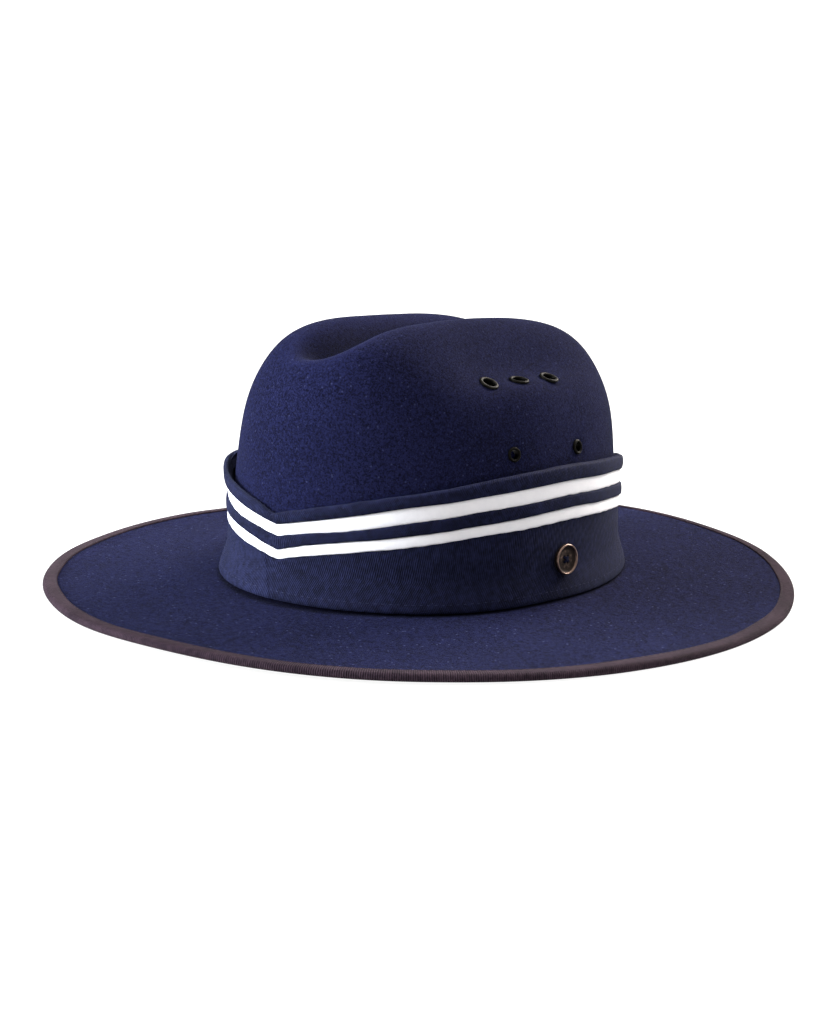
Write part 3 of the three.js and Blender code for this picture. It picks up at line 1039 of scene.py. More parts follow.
def solid_mesh(name: str, points: Array, faces: list) -> Mesh:
    """Mesh from points in millimetres.

    Args:
        name: The mesh's name.
        points: Its points.
        faces: Its faces, by point number.

    Returns:
        The mesh, in metres.
    """
    mesh = bpy.data.meshes.new(name)
    mesh.from_pydata((points * MM).tolist(), [], faces)
    return mesh


def paint(mesh: Mesh, layer: str, values: Array) -> None:
    """Paints a value on each point of a mesh.

    Args:
        mesh: The mesh.
        layer: Name of the attribute, which a finish reads.
        values: One value for each point.
    """
    mesh.attributes.new(layer, "FLOAT", "POINT").data.foreach_set("value", values)


def rods(name: str, radii: list[float], reach: float, sides: int, place: list[Placing]) -> Mesh:
    """Round rods along their own axes, joined in one mesh.

    Args:
        name: The mesh's name.
        radii: Radius of each rod.
        reach: How far each rod stands out to either side of its middle.
        sides: Facets round a rod.
        place: For each rod, what moves its points from its own axis to its place.

    Returns:
        The mesh.
    """
    points, faces = [], []
    for radius, move in zip(radii, place):
        corners = ((0.0, -reach), (radius, -reach), (radius, reach), (0.0, reach))
        rod, rod_faces, _ = lathe([(*corner, 0.0) for corner in corners], sides)
        start = sum(len(part) for part in points)
        points.append(move(rod))
        faces += [[start + v for v in face] for face in rod_faces]
    return tidy_mesh(solid_mesh(name, np.concatenate(points), faces))


@dataclass
class Workbench:
    """Turns meshes into pieces of the hat, placed on its one body."""

    body: str = "root"
    sharp_deg: float = 50.0

    def piece(self, mesh: Mesh, material: Material, slot: Slot, nodes: tuple[str, ...] = ()) -> Object:
        """Makes one piece.

        Args:
            mesh: Its mesh, already in place.
            material: Its finish.
            slot: The record's slot of its finish. Not used.
            nodes: Solids that it stands for.

        Returns:
            The piece.
        """
        mesh.shade_smooth()
        mesh.set_sharp_from_angle(angle=math.radians(self.sharp_deg))
        mesh.materials.clear()
        mesh.materials.append(material)
        piece = bpy.data.objects.new(mesh.name, mesh)
        bpy.context.scene.collection.objects.link(piece)
        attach(piece, self.body)
        if nodes:
            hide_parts(*nodes)
        triangles = sum(len(face.vertices) - 2 for face in mesh.polygons)
        log.info("%-28s %7d triangles  %s", piece.name, triangles, material.name)
        return piece


def cut_out(mesh: Mesh, cutter: Mesh) -> Mesh:
    """Cuts one closed mesh out of another.

    Args:
        mesh: The mesh to cut.
        cutter: What is taken out of it.

    Returns:
        The cut mesh.
    """
    body = bpy.data.objects.new("cut_body", mesh)
    tool = bpy.data.objects.new("cut_tool", cutter)
    for item in (body, tool):
        bpy.context.scene.collection.objects.link(item)
    modifier = body.modifiers.new("holes", "BOOLEAN")
    modifier.operation = "DIFFERENCE"
    modifier.solver = "EXACT"
    modifier.object = tool
    graph = bpy.context.evaluated_depsgraph_get()
    done = bpy.data.meshes.new_from_object(body.evaluated_get(graph))
    name = mesh.name
    for item in (body, tool):
        bpy.data.objects.remove(item)
    for used in (mesh, cutter):
        bpy.data.meshes.remove(used)
    done.name = name
    return done


class GrowthTree(NodeBoard):
    """A Geometry Nodes tree with named inputs."""

    def __init__(self, name: str, inputs: dict[str, str]) -> None:
        """Starts the tree.

        Args:
            name: The tree's name.
            inputs: Socket type of each named input after the geometry.
        """
        self.tree = bpy.data.node_groups.new(name, "GeometryNodeTree")
        face = self.tree.interface
        face.new_socket("Geometry", in_out="INPUT", socket_type="NodeSocketGeometry")
        self.keys = {
            key: face.new_socket(key, in_out="INPUT", socket_type=kind).identifier
            for key, kind in inputs.items()
        }
        face.new_socket("Geometry", in_out="OUTPUT", socket_type="NodeSocketGeometry")
        self.given = self.tree.nodes.new("NodeGroupInput").outputs

    def close(self, geometry: NodeSocket) -> None:
        """Ends the tree with real, dressed geometry.

        Args:
            geometry: What the tree has made.
        """
        real = self.add("GeometryNodeRealizeInstances", None, {0: geometry})
        values = {"Geometry": real.outputs[0], "Material": self.given["Material"]}
        dressed = self.add("GeometryNodeSetMaterial", None, values)
        self.add("NodeGroupOutput", None, {0: dressed.outputs[0]})

    def grow(self, name: str, seed_mesh: Mesh, values: dict) -> Mesh:
        """Runs the tree on a mesh and keeps the result as a plain mesh.

        Args:
            name: Name of the new mesh.
            seed_mesh: The paths that it grows on.
            values: What the named inputs hold.

        Returns:
            The new mesh.
        """
        carrier = bpy.data.objects.new(name + "_paths", seed_mesh)
        bpy.context.scene.collection.objects.link(carrier)
        modifier = carrier.modifiers.new("grow", "NODES")
        modifier.node_group = self.tree
        for key, value in values.items():
            modifier[self.keys[key]] = value
        graph = bpy.context.evaluated_depsgraph_get()
        grown = bpy.data.meshes.new_from_object(carrier.evaluated_get(graph))
        grown.name = name
        bpy.data.objects.remove(carrier)
        return grown


def paths_mesh(name: str, lines: list[Array], closed: bool = True) -> Mesh:
    """Mesh of edges along some lines.

    Args:
        name: The mesh's name.
        lines: Points of each line, in millimetres.
        closed: Whether each line returns to its start.

    Returns:
        The mesh.
    """
    points, edges = [], []
    for line in lines:
        start = len(points)
        points += (line * MM).tolist()
        count = len(line)
        edges += [(start + i, start + (i + 1) % count) for i in range(count if closed else count - 1)]
    mesh = bpy.data.meshes.new(name)
    mesh.from_pydata(points, edges, [])
    return mesh


def stitch_tree() -> GrowthTree:
    """Tree that lays a row of stitches along each path.

    Returns:
        The tree, with inputs for pitch, length, width, seed and material.
    """
    sizes = {"Pitch": "NodeSocketFloat", "Length": "NodeSocketFloat", "Width": "NodeSocketFloat"}
    grower = GrowthTree("stitch_row", sizes | {"Seed": "NodeSocketInt", "Material": "NodeSocketMaterial"})
    given = grower.given
    curve = grower.add("GeometryNodeMeshToCurve", None, {0: given["Geometry"]})
    values = {"Curve": curve.outputs[0], "Length": given["Pitch"]}
    places = grower.add("GeometryNodeResampleCurve", {"mode": "LENGTH"}, values)
    tangent = grower.add("GeometryNodeInputTangent")
    aim = grower.add("FunctionNodeAlignRotationToVector", {"axis": "Z"}, {"Vector": tangent.outputs[0]})
    ball = grower.add("GeometryNodeMeshUVSphere", None, {"Segments": 8, "Rings": 5, "Radius": 0.5})
    spread = {2: 0.86, 3: 1.12, "Seed": given["Seed"]}
    vary = grower.add("FunctionNodeRandomValue", {"data_type": "FLOAT"}, spread)
    long = grower.add("ShaderNodeMath", {"operation": "MULTIPLY"}, {0: given["Length"], 1: vary.outputs[1]})
    size = {0: given["Width"], 1: given["Width"], 2: long.outputs[0]}
    scale = grower.add("ShaderNodeCombineXYZ", None, size)
    values = {
        "Points": places.outputs[0],
        "Instance": ball.outputs[0],
        "Rotation": aim.outputs[0],
        "Scale": scale.outputs[0],
    }
    grower.close(grower.add("GeometryNodeInstanceOnPoints", None, values).outputs[0])
    return grower


@dataclass(frozen=True)
class StitchRow:
    """Sizes of a row of stitches, in millimetres, and the seed that varies their lengths."""

    pitch: float
    length: float
    width: float
    seed: int

    def sewn(self, tree: GrowthTree, name: str, lines: list[Array], thread: Material) -> Mesh:
        """Lays the stitches.

        Args:
            tree: The tree that lays a row along each path.
            name: Name of the new mesh.
            lines: Points of each closed row, in millimetres.
            thread: The thread's finish.

        Returns:
            The stitches.
        """
        sizes = {"Pitch": self.pitch * MM, "Length": self.length * MM, "Width": self.width * MM}
        values = sizes | {"Seed": self.seed, "Material": thread}
        return tree.grow(name, paths_mesh(f"{name}_rows", lines), values)


def thread_tree() -> GrowthTree:
    """Tree that turns each path into a round thread.

    Returns:
        The tree, with inputs for the radius and the material.
    """
    grower = GrowthTree("thread_run", {"Radius": "NodeSocketFloat", "Material": "NodeSocketMaterial"})
    curve = grower.add("GeometryNodeMeshToCurve", None, {0: grower.given["Geometry"]})
    section = {"Resolution": 10, "Radius": grower.given["Radius"]}
    ring = grower.add("GeometryNodeCurvePrimitiveCircle", {"mode": "RADIUS"}, section)
    values = {"Curve": curve.outputs[0], "Profile Curve": ring.outputs[0], "Fill Caps": True}
    grower.close(grower.add("GeometryNodeCurveToMesh", None, values).outputs[0])
    return grower


# Eyelets


@dataclass(frozen=True)
class EyeletRadii:
    """Radii of an eyelet's parts, in millimetres."""

    flange: float
    bore: float
    barrel: float
    inner: float


class EyeletSize(Enum):
    """The two sizes of eyelet."""

    UPPER = EyeletRadii(4.5, 2.75, 3.05, 4.0)
    LOWER = EyeletRadii(3.35, 2.0, 2.3, 3.1)


@dataclass
class EyeletPlace:
    """Where one eyelet sits."""

    name: str
    turn_deg: float
    climb: float
    size: EyeletSize


@dataclass
class VentEyelets:
    """The metal eyelets in both sides of the crown."""

    form: HatForm
    bench: Workbench
    seat: float = 0.35
    seat_margin: float = 0.3
    seat_fade: float = 2.2
    clearance: float = 0.3
    crest: float = 0.78
    lip: float = 0.62
    inner_rim: float = 0.22
    sides: int = 48
    cutter_reach: float = 6.0
    cutter_sides: int = 32
    places: tuple[EyeletPlace, ...] = (
        EyeletPlace("upper_front", 67.1, 48.5, EyeletSize.UPPER),
        EyeletPlace("upper_middle", 81.8, 49.4, EyeletSize.UPPER),
        EyeletPlace("upper_back", 96.0, 47.1, EyeletSize.UPPER),
        EyeletPlace("lower_front", 70.7, 29.9, EyeletSize.LOWER),
        EyeletPlace("lower_back", 96.9, 29.5, EyeletSize.LOWER),
    )

    def spots(self) -> list[tuple[str, Array, Array, EyeletSize]]:
        """Works out every eyelet's place.

        Returns:
            Name, middle, outward direction and size of each.
        """
        found = []
        for side in Side:
            for place in self.places:
                turn = math.radians(place.turn_deg) * side.value
                name = f"eyelet_{side.name.lower()}_{place.name}"
                middle = self.form.crown(np.array(turn), place.climb)
                found.append((name, middle, self.form.crown_normal(turn, place.climb), place.size))
        return found

    def press(self, outer: Array, normals: Array, inward: bool) -> Array:
        """Presses the felt down under each flange.

        Args:
            outer: Points of one face of the felt.
            normals: Outward direction at each point.
            inward: True for the outer face, False for the inner.

        Returns:
            The pressed points.
        """
        pressed = outer.copy()
        sign = -1.0 if inward else 1.0
        for _, middle, _, size in self.spots():
            away = np.linalg.norm(outer - middle, axis=-1)
            depth = self.seat * (1 - smooth((away - size.value.flange - self.seat_margin) / self.seat_fade))
            pressed += sign * depth[..., None] * normals
        return pressed

    def hole_cutter(self) -> Mesh:
        """Rods that cut the eyelets' holes in the felt.

        Returns:
            One mesh of all the rods.
        """
        spots = self.spots()
        radii = [size.value.barrel + self.clearance for *_, size in spots]
        place = [self.placing(middle, normal) for _, middle, normal, _ in spots]
        return rods("eyelet_holes", radii, self.cutter_reach, self.cutter_sides, place)

    def placing(self, middle: Array, normal: Array) -> Placing:
        """What moves points from an eyelet's own axis to its spot."""
        return lambda points: points @ turn_to(normal).T + middle

    def outline(self, size: EyeletSize) -> list[tuple[float, float, float]]:
        """Section of an eyelet: radius, height above the felt and wear.

        Args:
            size: Which of the two sizes it is.

        Returns:
            The closed section.
        """
        radii = size.value
        roll = (radii.flange - radii.bore) / 2
        flange = arc((radii.bore + roll, -0.02), (roll, self.crest), (6, 174), 14)
        curled = [(r, z, 0.05 + 0.75 * smooth(np.array((z - 0.5) / 0.4)).item()) for r, z in flange]
        back = -self.form.felt + self.seat - self.clearance
        lip = arc((radii.bore + self.lip, back - 0.1), (self.lip, 0.5), (180, 300), 5)
        base = -self.seat + self.clearance
        return [
            *curled,
            *[(r, z, 0.2) for r, z in lip],
            (radii.inner, back - self.inner_rim, 0.3),
            (radii.inner, back, 0.2),
            (radii.barrel, back, 0.0),
            (radii.barrel, base, 0.0),
            (radii.flange, base, 0.3),
        ]

    def build(self) -> None:
        """Makes the ten eyelets."""
        tarnish, bright, edge = (0.003, 0.003, 0.003), (0.42, 0.37, 0.28), (0.38, 0.35, 0.30)
        metal = AgedMetal("rubbed_gunmetal", tarnish, bright, 0.15, 0.72, edge).make()
        for name, middle, normal, size in self.spots():
            points, faces, worn = lathe(self.outline(size), self.sides)
            points = self.form.sway(self.placing(middle, normal)(points))
            mesh = solid_mesh(f"metal_{name}", points, faces)
            paint(mesh, "worn", worn)
            self.bench.piece(mesh, metal, Slot.GUNMETAL, (name,))


# Felt


@dataclass
class FeltShell:
    """Crown and brim: one felt shell, open below."""

    form: HatForm
    bench: Workbench
    eyelets: VentEyelets
    columns: int = 320
    brim_rows: int = 26
    corner_rows: int = 9
    crown_rows: int = 88
    edge_share: float = 0.9867
    corner_reach: float = 4.0
    corner_rise: float = 9.0
    corner_power: float = 1.64

    def meridian(self, turn: Array) -> Array:
        """Rows of points from the brim's edge to near the top of the crown.

        Args:
            turn: The turns of the columns.

        Returns:
            Points by row and column.
        """
        form = self.form
        corner_share = (self.corner_reach + 2.0) / (form.brim_width - form.crown_width)
        half = np.array([0.0, 0.0, form.felt / 2])
        shares = np.linspace(self.edge_share, corner_share, self.brim_rows)
        rows = [form.brim_middle(turn, np.full_like(turn, share)) + half for share in shares]
        for step in np.linspace(0, 1, self.corner_rows):
            outward = self.corner_reach * (1 - step) ** self.corner_power
            z = form.brim_top(turn, outward) + self.corner_rise * step**2
            rows.append(form.wall(turn, z, np.full_like(turn, outward)))
        top = form.brim_top(turn) + self.corner_rise
        start = np.degrees(np.arctan((top - form.crown_base) / (form.crown_top - form.crown_base)))
        for step in np.linspace(0, 1, self.crown_rows + 2)[1:-1]:
            rows.append(form.crown(turn, start + (90 - start) * step))
        return np.stack(rows)

    def surface_normals(self, rows: Array) -> Array:
        """Outward direction at each point of the grid.

        Args:
            rows: Points by row and column.

        Returns:
            Directions by row and column.
        """
        around = np.roll(rows, -1, axis=1) - np.roll(rows, 1, axis=1)
        upward = np.gradient(rows, axis=0)
        normals = np.cross(around, upward)
        return normals / np.linalg.norm(normals, axis=-1, keepdims=True)

    def shell(self) -> Mesh:
        """Outer and inner face of the felt, joined at the brim's edge.

        Returns:
            The felt without its holes.
        """
        form = self.form
        turn = np.linspace(0, math.tau, self.columns, endpoint=False)
        rows = self.meridian(turn)
        normals = self.surface_normals(rows)
        outer = self.eyelets.press(rows, normals, True)
        inner = self.eyelets.press(rows - form.felt * normals, normals, False)
        pole = form.crown(np.array(0.0), 90.0)
        count, columns = rows.shape[:2]
        drop = [[0.0, 0.0, form.felt]]
        points = np.concatenate([outer.reshape(-1, 3), pole[None], inner.reshape(-1, 3), pole[None] - drop])
        under = count * columns + 1
        column = np.arange(columns)
        beside = (column + 1) % columns
        row = np.arange(count - 1)[:, None] * columns
        above = row + columns
        outside = np.stack([row + column, row + beside, above + beside, above + column], -1)
        inside = outside[..., ::-1] + under
        rim = np.stack([under + column, under + beside, beside, column], -1)
        quads = np.concatenate([outside.reshape(-1, 4), inside.reshape(-1, 4), rim])
        last = (count - 1) * columns
        top = np.stack([last + column, last + beside, np.full_like(column, under - 1)], -1)
        pole_below = np.full_like(column, len(points) - 1)
        top_below = np.stack([under + last + beside, under + last + column, pole_below], -1)
        faces = quads.tolist() + top.tolist() + top_below.tolist()
        mesh = solid_mesh("felt_crown_and_brim", form.sway(points), faces)
        # Crease share, read by the felt's finish for painted shade in the crease and a painted highlight on
        # its ridge.
        paint(mesh, "pressed", form.crease_share(points[:, 0], points[:, 1]))
        return mesh

    def build(self) -> None:
        """Makes the felt, with its eyelet holes."""
        mesh = cut_out(self.shell(), self.eyelets.hole_cutter())
        self.bench.piece(mesh, WoolFelt().make(), Slot.FELT, ("felt_body",))


# Binding


@dataclass
class BrimBinding:
    """Ribbon folded over the brim's edge and stitched through."""

    form: HatForm
    bench: Workbench
    stitches: GrowthTree
    mean_brim: float = 84.9
    width: float = 6.7
    cloth: float = 0.66
    half_thickness: float = 1.8
    nose: float = 2.0
    lip: float = 0.4
    lip_wobble: float = 0.14
    leaf: Profile = ((3.4, 0.05), (5.0, 0.02), (5.9, -0.08))
    stitch_inset: float = 5.9
    stitch_sink: float = 0.1
    stitch_row: StitchRow = StitchRow(3.2, 2.3, 0.42, 5)
    columns: int = 720

    def outline(self, turn: Array) -> list[tuple[Array, Array]]:
        """Section of the ribbon: distance in from the edge and height from its middle.

        Args:
            turn: The turns of the sections.

        Returns:
            The closed section's places, each at every turn.
        """
        top, inside, still = self.half_thickness, self.half_thickness - self.cloth, 0 * turn
        wobble = ring_wobble(turn, self.lip_wobble, 21)
        low_wobble = ring_wobble(turn, self.lip_wobble, 22)
        lip = arc((self.width - self.lip, top - self.lip), (self.lip, self.lip), (90, 0), 3)
        edge = [*lip, (self.width, inside)]
        upper = [(x + wobble, z + still) for x, z in edge]
        lower = [(x + low_wobble, -z + still) for x, z in edge[::-1]]
        hollow = [(self.cloth + still, inside + still), (self.cloth + still, -inside + still)]
        leaf = [(x + still, top + rise + still) for x, rise in self.leaf]
        under_leaf = [(x, -z) for x, z in leaf[::-1]]
        nose = [(x + still, z + still) for x, z in arc((self.nose, 0.0), (-self.nose, top), (-90, 90), 14)]
        return [*upper, *hollow, *lower, *under_leaf, *nose, *leaf]

    def row(self, turn: Array, inset: Array, lift: Array) -> Array:
        """Line round the brim.

        Args:
            turn: The turns of its points.
            inset: Distance in from the brim's edge.
            lift: Height above the middle of the felt.

        Returns:
            The points.
        """
        line = self.form.brim_middle(turn, 1 - inset / self.mean_brim)
        line[:, 2] += lift
        return line

    def build(self) -> None:
        """Makes the ribbon and its two rows of stitches."""
        form = self.form
        turn = np.linspace(0, math.tau, self.columns, endpoint=False)
        outline = self.outline(turn)
        sections = form.sway(np.stack([self.row(turn, inset, lift) for inset, lift in outline], 1))
        across = girth(np.stack([[x[0], z[0]] for x, z in outline]))
        edge = form.brim_middle(turn, np.ones_like(turn))
        mesh = ring_mesh("brim_ribbon", sections, girth(edge), across)
        self.bench.piece(mesh, RibbedRibbon().make(), Slot.RIBBON, ("brim_binding",))
        self.sew(turn)

    def sew(self, turn: Array) -> None:
        """Lays the stitches along both leaves of the ribbon.

        Args:
            turn: The turns of the rows' points.
        """
        thread = SewingThread("plum_thread", (0.006, 0.004, 0.007), (0.026, 0.018, 0.026)).make()
        inset, lift = np.full_like(turn, self.stitch_inset), self.half_thickness - self.stitch_sink
        lines = [self.form.sway(self.row(turn, inset, side * lift)) for side in (1, -1)]
        mesh = self.stitch_row.sewn(self.stitches, "brim_ribbon_stitches", lines, thread)
        self.bench.piece(mesh, thread, Slot.RIBBON)


# Band


@dataclass
class PleatedBand:
    """Cloth band round the crown: wide cloth, two pale tapes, a middle fold and a top hem.

    The tapes' and the fold's profiles give shares of the height and of the thickness, up to the
    middle. The hem's gives heights over its lower edge and distances from the cloth.
    """

    form: HatForm
    bench: Workbench
    stitches: GrowthTree
    tilt: float = 0.033
    foot_gap: float = 0.4
    front_gap: Swell = Swell(1.5, -5.0, 38.0)
    point_deg: float = -0.5
    point_spread: float = 30.0
    point_step: float = 0.3
    point_fade: float = 14.0
    point_groove: float = 0.35
    groove_half_width: float = 0.5
    chest_share: float = 0.62
    half_slit: float = 0.02
    tape_turn_under: float = 0.7
    cloth_out: float = 1.7
    cloth_lean: float = 0.9
    cloth_top: float = 1.1
    cloth_puff: float = 0.1
    cloth_fullness: float = 0.2
    cloth_shares: tuple[float, ...] = (0.25, 0.5, 0.75, 0.97)
    foot_round: float = 0.6
    foot_round_rise: float = 1.2
    puff_rise: float = 4.0
    seam_drop: float = 0.3
    back_top: float = 1.45
    back_drop: float = 4.5
    back_lean: float = 0.75
    back_chest: float = 0.45
    lay: float = 0.1
    tape: float = 0.55
    tape_groove: float = 0.12
    tape_profile: Profile = ((0.0, 0.0), (0.0, 0.35), (0.05, 0.75), (0.16, 1.0), (0.5, 1.08))
    fold: float = 1.45
    fold_slant: float = 3.4
    fold_profile: Profile = ((0.0, 0.0), (0.0, 0.45), (0.03, 0.75), (0.09, 0.93), (0.2, 1.0), (0.5, 1.07))
    hem: float = 1.6
    hem_out: float = 2.7
    hem_inner: float = 0.4
    hem_leaf: float = 0.65
    hem_drop: float = 4.0
    hem_slant: float = 1.8
    hem_round: float = 0.9
    hem_profile: Profile = ((0.0, 0.1), (0.0, 0.8), (0.1, 1.2), (0.4, 1.5), (0.9, 1.65))
    hem_sag: Swell = Swell(4.6, -78.0, 19.0)
    hem_open: Swell = Swell(1.45, -50.0, 30.0)
    leans: tuple[Swell, ...] = (Swell(1.35, -45.0, 27.0), Swell(0.5, -52.0, 7.0), Swell(0.3, 60.0, 30.0))
    slant_spread: float = 7.0
    lap_deg: float = -3.6
    lap_step: float = 0.5
    lap_lift: float = 0.34
    lap_fade: float = 9.0
    lap_lean: float = 4.8
    # Spread of the painted light on the lap's upper panel, and spread and depth of the painted shade beside
    # it.
    panel_light_deg: float = 30.0
    panel_dark_deg: float = 16.0
    panel_dark: float = 0.7
    girth_height: float = 40.0
    girth_out: float = 2.0
    stitch_rise: float = 3.9
    stitch_row: StitchRow = StitchRow(3.3, 1.5, 0.26, 8)
    edges: tuple[BandEdge, ...] = (
        BandEdge(0, 27.0, 31.0, 37.6, 42.2, 46.6),
        BandEdge(10, 29.8, 34.6, 40.5, 45.3, 50.7),
        BandEdge(20, 32.0, 37.1, 42.4, 48.0, 53.7),
        BandEdge(30, 34.0, 38.9, 44.6, 50.6, 56.2),
        BandEdge(40, 35.7, 40.7, 46.9, 53.1, 58.6),
        BandEdge(50, 37.4, 42.3, 48.7, 54.8, 60.9),
        BandEdge(60, 39.0, 43.9, 50.6, 56.5, 62.9),
        BandEdge(75, 40.3, 45.5, 51.8, 57.7, 64.5),
        BandEdge(90, 40.9, 46.3, 52.3, 58.2, 65.0),
        BandEdge(102, 40.2, 45.4, 51.6, 57.4, 64.1),
        BandEdge(117, 38.3, 43.6, 50.0, 55.9, 62.3),
        BandEdge(134, 34.9, 40.3, 46.8, 52.5, 59.0),
        BandEdge(155, 31.2, 36.6, 43.1, 48.6, 55.0),
        BandEdge(180, 29.5, 34.9, 41.3, 46.8, 53.0),
    )
    rises: tuple[float, ...] = (0.0, 0.35, 1.0, 2.2, 3.6, 5.2, 7.0, 9.0, 11.2, 13.5)
    foot_rises: tuple[float, ...] = (0.0, 2.2, 13.5)
    foot_inner: tuple[float, ...] = (4.15, 3.0, 0.4)
    foot_outer: tuple[float, ...] = (5.0, 4.7, 1.9)

    def __post_init__(self) -> None:
        """Sets the band's columns: one each degree, and close ones at the front point and the lap."""
        point = [self.point_deg + step for step in (-1.5, -0.5, -0.03, 0.03, 0.5, 1.5)]
        lap = [self.lap_deg + step for step in (-0.5, -0.2, 0.1)]
        self.turn = np.radians(np.array(sorted({*range(-180, 180), *point, *lap} - {-4, -2, -1, 0}), float))

    def edge(self, column: str, turn: Array) -> Array:
        """Height of one of the band's edges.

        Args:
            column: The edge's name in the table of edges.
            turn: Where to read it.

        Returns:
            The heights. The upper tape's lower edge is let down by what it takes from the fold.
        """
        stops = np.array([row.turn for row in self.edges], float)
        values = np.array([getattr(row, column) for row in self.edges])
        tilt = self.tilt * self.form.crown_width * np.sin(turn)
        degrees = degrees_from_front(turn)
        from_point = degrees - self.point_deg * bell(degrees / self.point_spread)
        let_down = self.tape_turn_under if column == "upper_from" else 0.0
        return along_curve(stops, values, np.abs(from_point)) + tilt - let_down

    def foot(self, turn: Array) -> Array:
        """Height of the cloth's lower edge, which stands off the brim a little more in front."""
        return self.form.brim_top(turn) + self.foot_gap + self.front_gap.at(turn)

    def foot_out(self, rise: float) -> float:
        """Distance from the crown to the cloth's outer face near its foot."""
        return along_curve(np.array(self.foot_rises), np.array(self.foot_outer), np.array(rise)).item()

    def chest(self, turn: Array) -> Array:
        """Height at which the cloth starts to lean away from the crown."""
        waist = self.foot(turn) + self.foot_rises[-1]
        return waist + (self.edge("top", turn) - waist) * self.chest_share

    def stand(self, turn: Array) -> Array:
        """How far the band's top leans off the crown, most at the wearer's right temple."""
        return sum(lean.at(turn) for lean in self.leans)

    def face(self, turn: Array, z: Array) -> Array:
        """Distance from the crown to the cloth's outer face, above its foot.

        Args:
            turn: Turn from the front.
            z: Height above the table.

        Returns:
            The distance.
        """
        chest = self.chest(turn)
        share = np.clip((z - chest) / (self.edge("top", turn) - self.cloth_top - chest), 0, 1)
        return self.cloth_out + (self.cloth_lean + self.stand(turn)) * share

    def lap(self, turn: Array) -> Array:
        """Extra thickness of the sewn lap.

        Args:
            turn: Turn from the front.

        Returns:
            The thickness to add.
        """
        behind = self.lap_deg - degrees_from_front(turn)
        step = np.clip(behind / self.lap_step, 0, 1) * (behind < self.lap_fade)
        return step**0.5 * self.lap_lift * (1 - smooth(behind / self.lap_fade))

    def groove(self, depth: float) -> Array:
        """Narrow groove at the front point."""
        return Swell(depth, self.point_deg, self.groove_half_width).at(self.turn)

    def point_lift(self) -> Array:
        """Step of the folds at the front point, where the wearer's left leaf lies on top.

        Returns:
            The lift of each column.
        """
        degrees = degrees_from_front(self.turn) - self.point_deg
        step = self.point_step * (1 - smooth(degrees / self.point_fade))
        return np.where(degrees > 0, step, 0.0) - self.groove(self.point_groove)

    def leaned(self, share: Array | float) -> Array:
        """Turns of the cloth's columns, leaned near the lap so that its seam looks upright.

        Args:
            share: Place between the cloth's foot, 0, and the lower tape, 1.

        Returns:
            The turns.
        """
        lean_deg = Swell(self.lap_lean, self.lap_deg, self.lap_fade).at(self.turn)
        return self.turn + np.radians(lean_deg) * (0.5 - share)

    def slanted(self, slant_deg: float, share: float) -> Array:
        """Turns of a fold's columns, slanted near the front point.

        Args:
            slant_deg: How far the mitre leans towards the wearer's right at the fold's top.
            share: Place between the fold's lower edge, 0, and its upper edge, 1.

        Returns:
            The turns.
        """
        near = Swell(slant_deg, self.point_deg, self.slant_spread).at(self.turn)
        return self.turn - np.radians(near) * share

    def ring(self, name: str, outline: list[tuple[Array, Array, Array]]) -> Mesh:
        """Sweeps an outline of turn, height and distance from the crown round the head.

        Args:
            name: The mesh's name.
            outline: Places on the closed outline, each at every column.

        Returns:
            The mesh.
        """
        points = [self.form.wall(turn, z, outward) for turn, z, outward in outline]
        sections = self.form.sway(np.stack(points, 1))
        across = girth(np.stack([[outward[0], z[0]] for _, z, outward in outline]))
        still = 0 * self.turn
        line = self.form.wall(self.turn, self.girth_height + still, self.girth_out + still)
        return ring_mesh(name, sections, girth(line), across + outline[0][1][0])

    def wide_cloth(self) -> Mesh:
        """The wide cloth, whole height, with its sewn lap and rounded foot.

        Returns:
            The cloth.
        """
        turn = self.turn
        foot, top, chest = self.foot(turn), self.edge("top", turn), self.chest(turn)
        lift, lean, flat = self.lap(turn), self.stand(turn), 0 * turn
        joint = self.edge("lower_from", turn) - self.half_slit
        waist = foot + self.foot_rises[-1]
        puff = ring_wobble(turn, self.cloth_puff, 31, (3, 16))
        outer = []
        for rise in self.rises:
            round_off = self.foot_round * (1 - min(1.0, rise / self.foot_round_rise)) ** 2
            out = self.foot_out(rise) - round_off + lift + puff * min(1.0, rise / self.puff_rise)
            at = self.leaned(rise / (joint - foot))
            outer.append((at, self.foot(at) + rise, out))
        for share in self.cloth_shares:
            z = waist + (joint - self.seam_drop - waist) * share
            fullness = self.cloth_fullness * (1 - share)
            out = np.maximum(self.cloth_out, self.face(turn, z)) + fullness + lift + puff
            outer.append((self.leaned((z - foot) / (joint - foot)), z, out))
        inner = [(turn, foot + rise, out + flat) for rise, out in zip(self.foot_rises, self.foot_inner)]
        mesh = self.ring("band_wide_cloth", [
            (turn, top - self.cloth_top, self.cloth_out + self.cloth_lean + lean),
            (turn, top - self.cloth_top, self.back_top + lean),
            (turn, top - self.back_drop, self.back_top + self.back_lean * lean),
            (turn, chest, self.back_chest + flat),
            *inner[::-1],
            *outer,
            (turn, joint, self.face(turn, joint)),
            (turn, chest, self.cloth_out + flat),
        ])
        self.paint_lap_shading(mesh)
        return mesh

    def paint_lap_shading(self, mesh: Mesh) -> None:
        """Paints the twill's painted light on the lap's upper panel and its painted shade beside the lap.

        Args:
            mesh: The wide cloth.
        """
        degrees = degrees_from_front(self.turn) - self.lap_deg
        light, dark = bell(degrees / self.panel_light_deg), bell(degrees / self.panel_dark_deg)
        # Positive for painted light on the upper panel, negative for painted shade beside the lap.
        upper = np.where(degrees < 0, light, -self.panel_dark * dark)
        paint(mesh, "lap_shading", np.repeat(upper, len(mesh.vertices) // len(self.turn)))

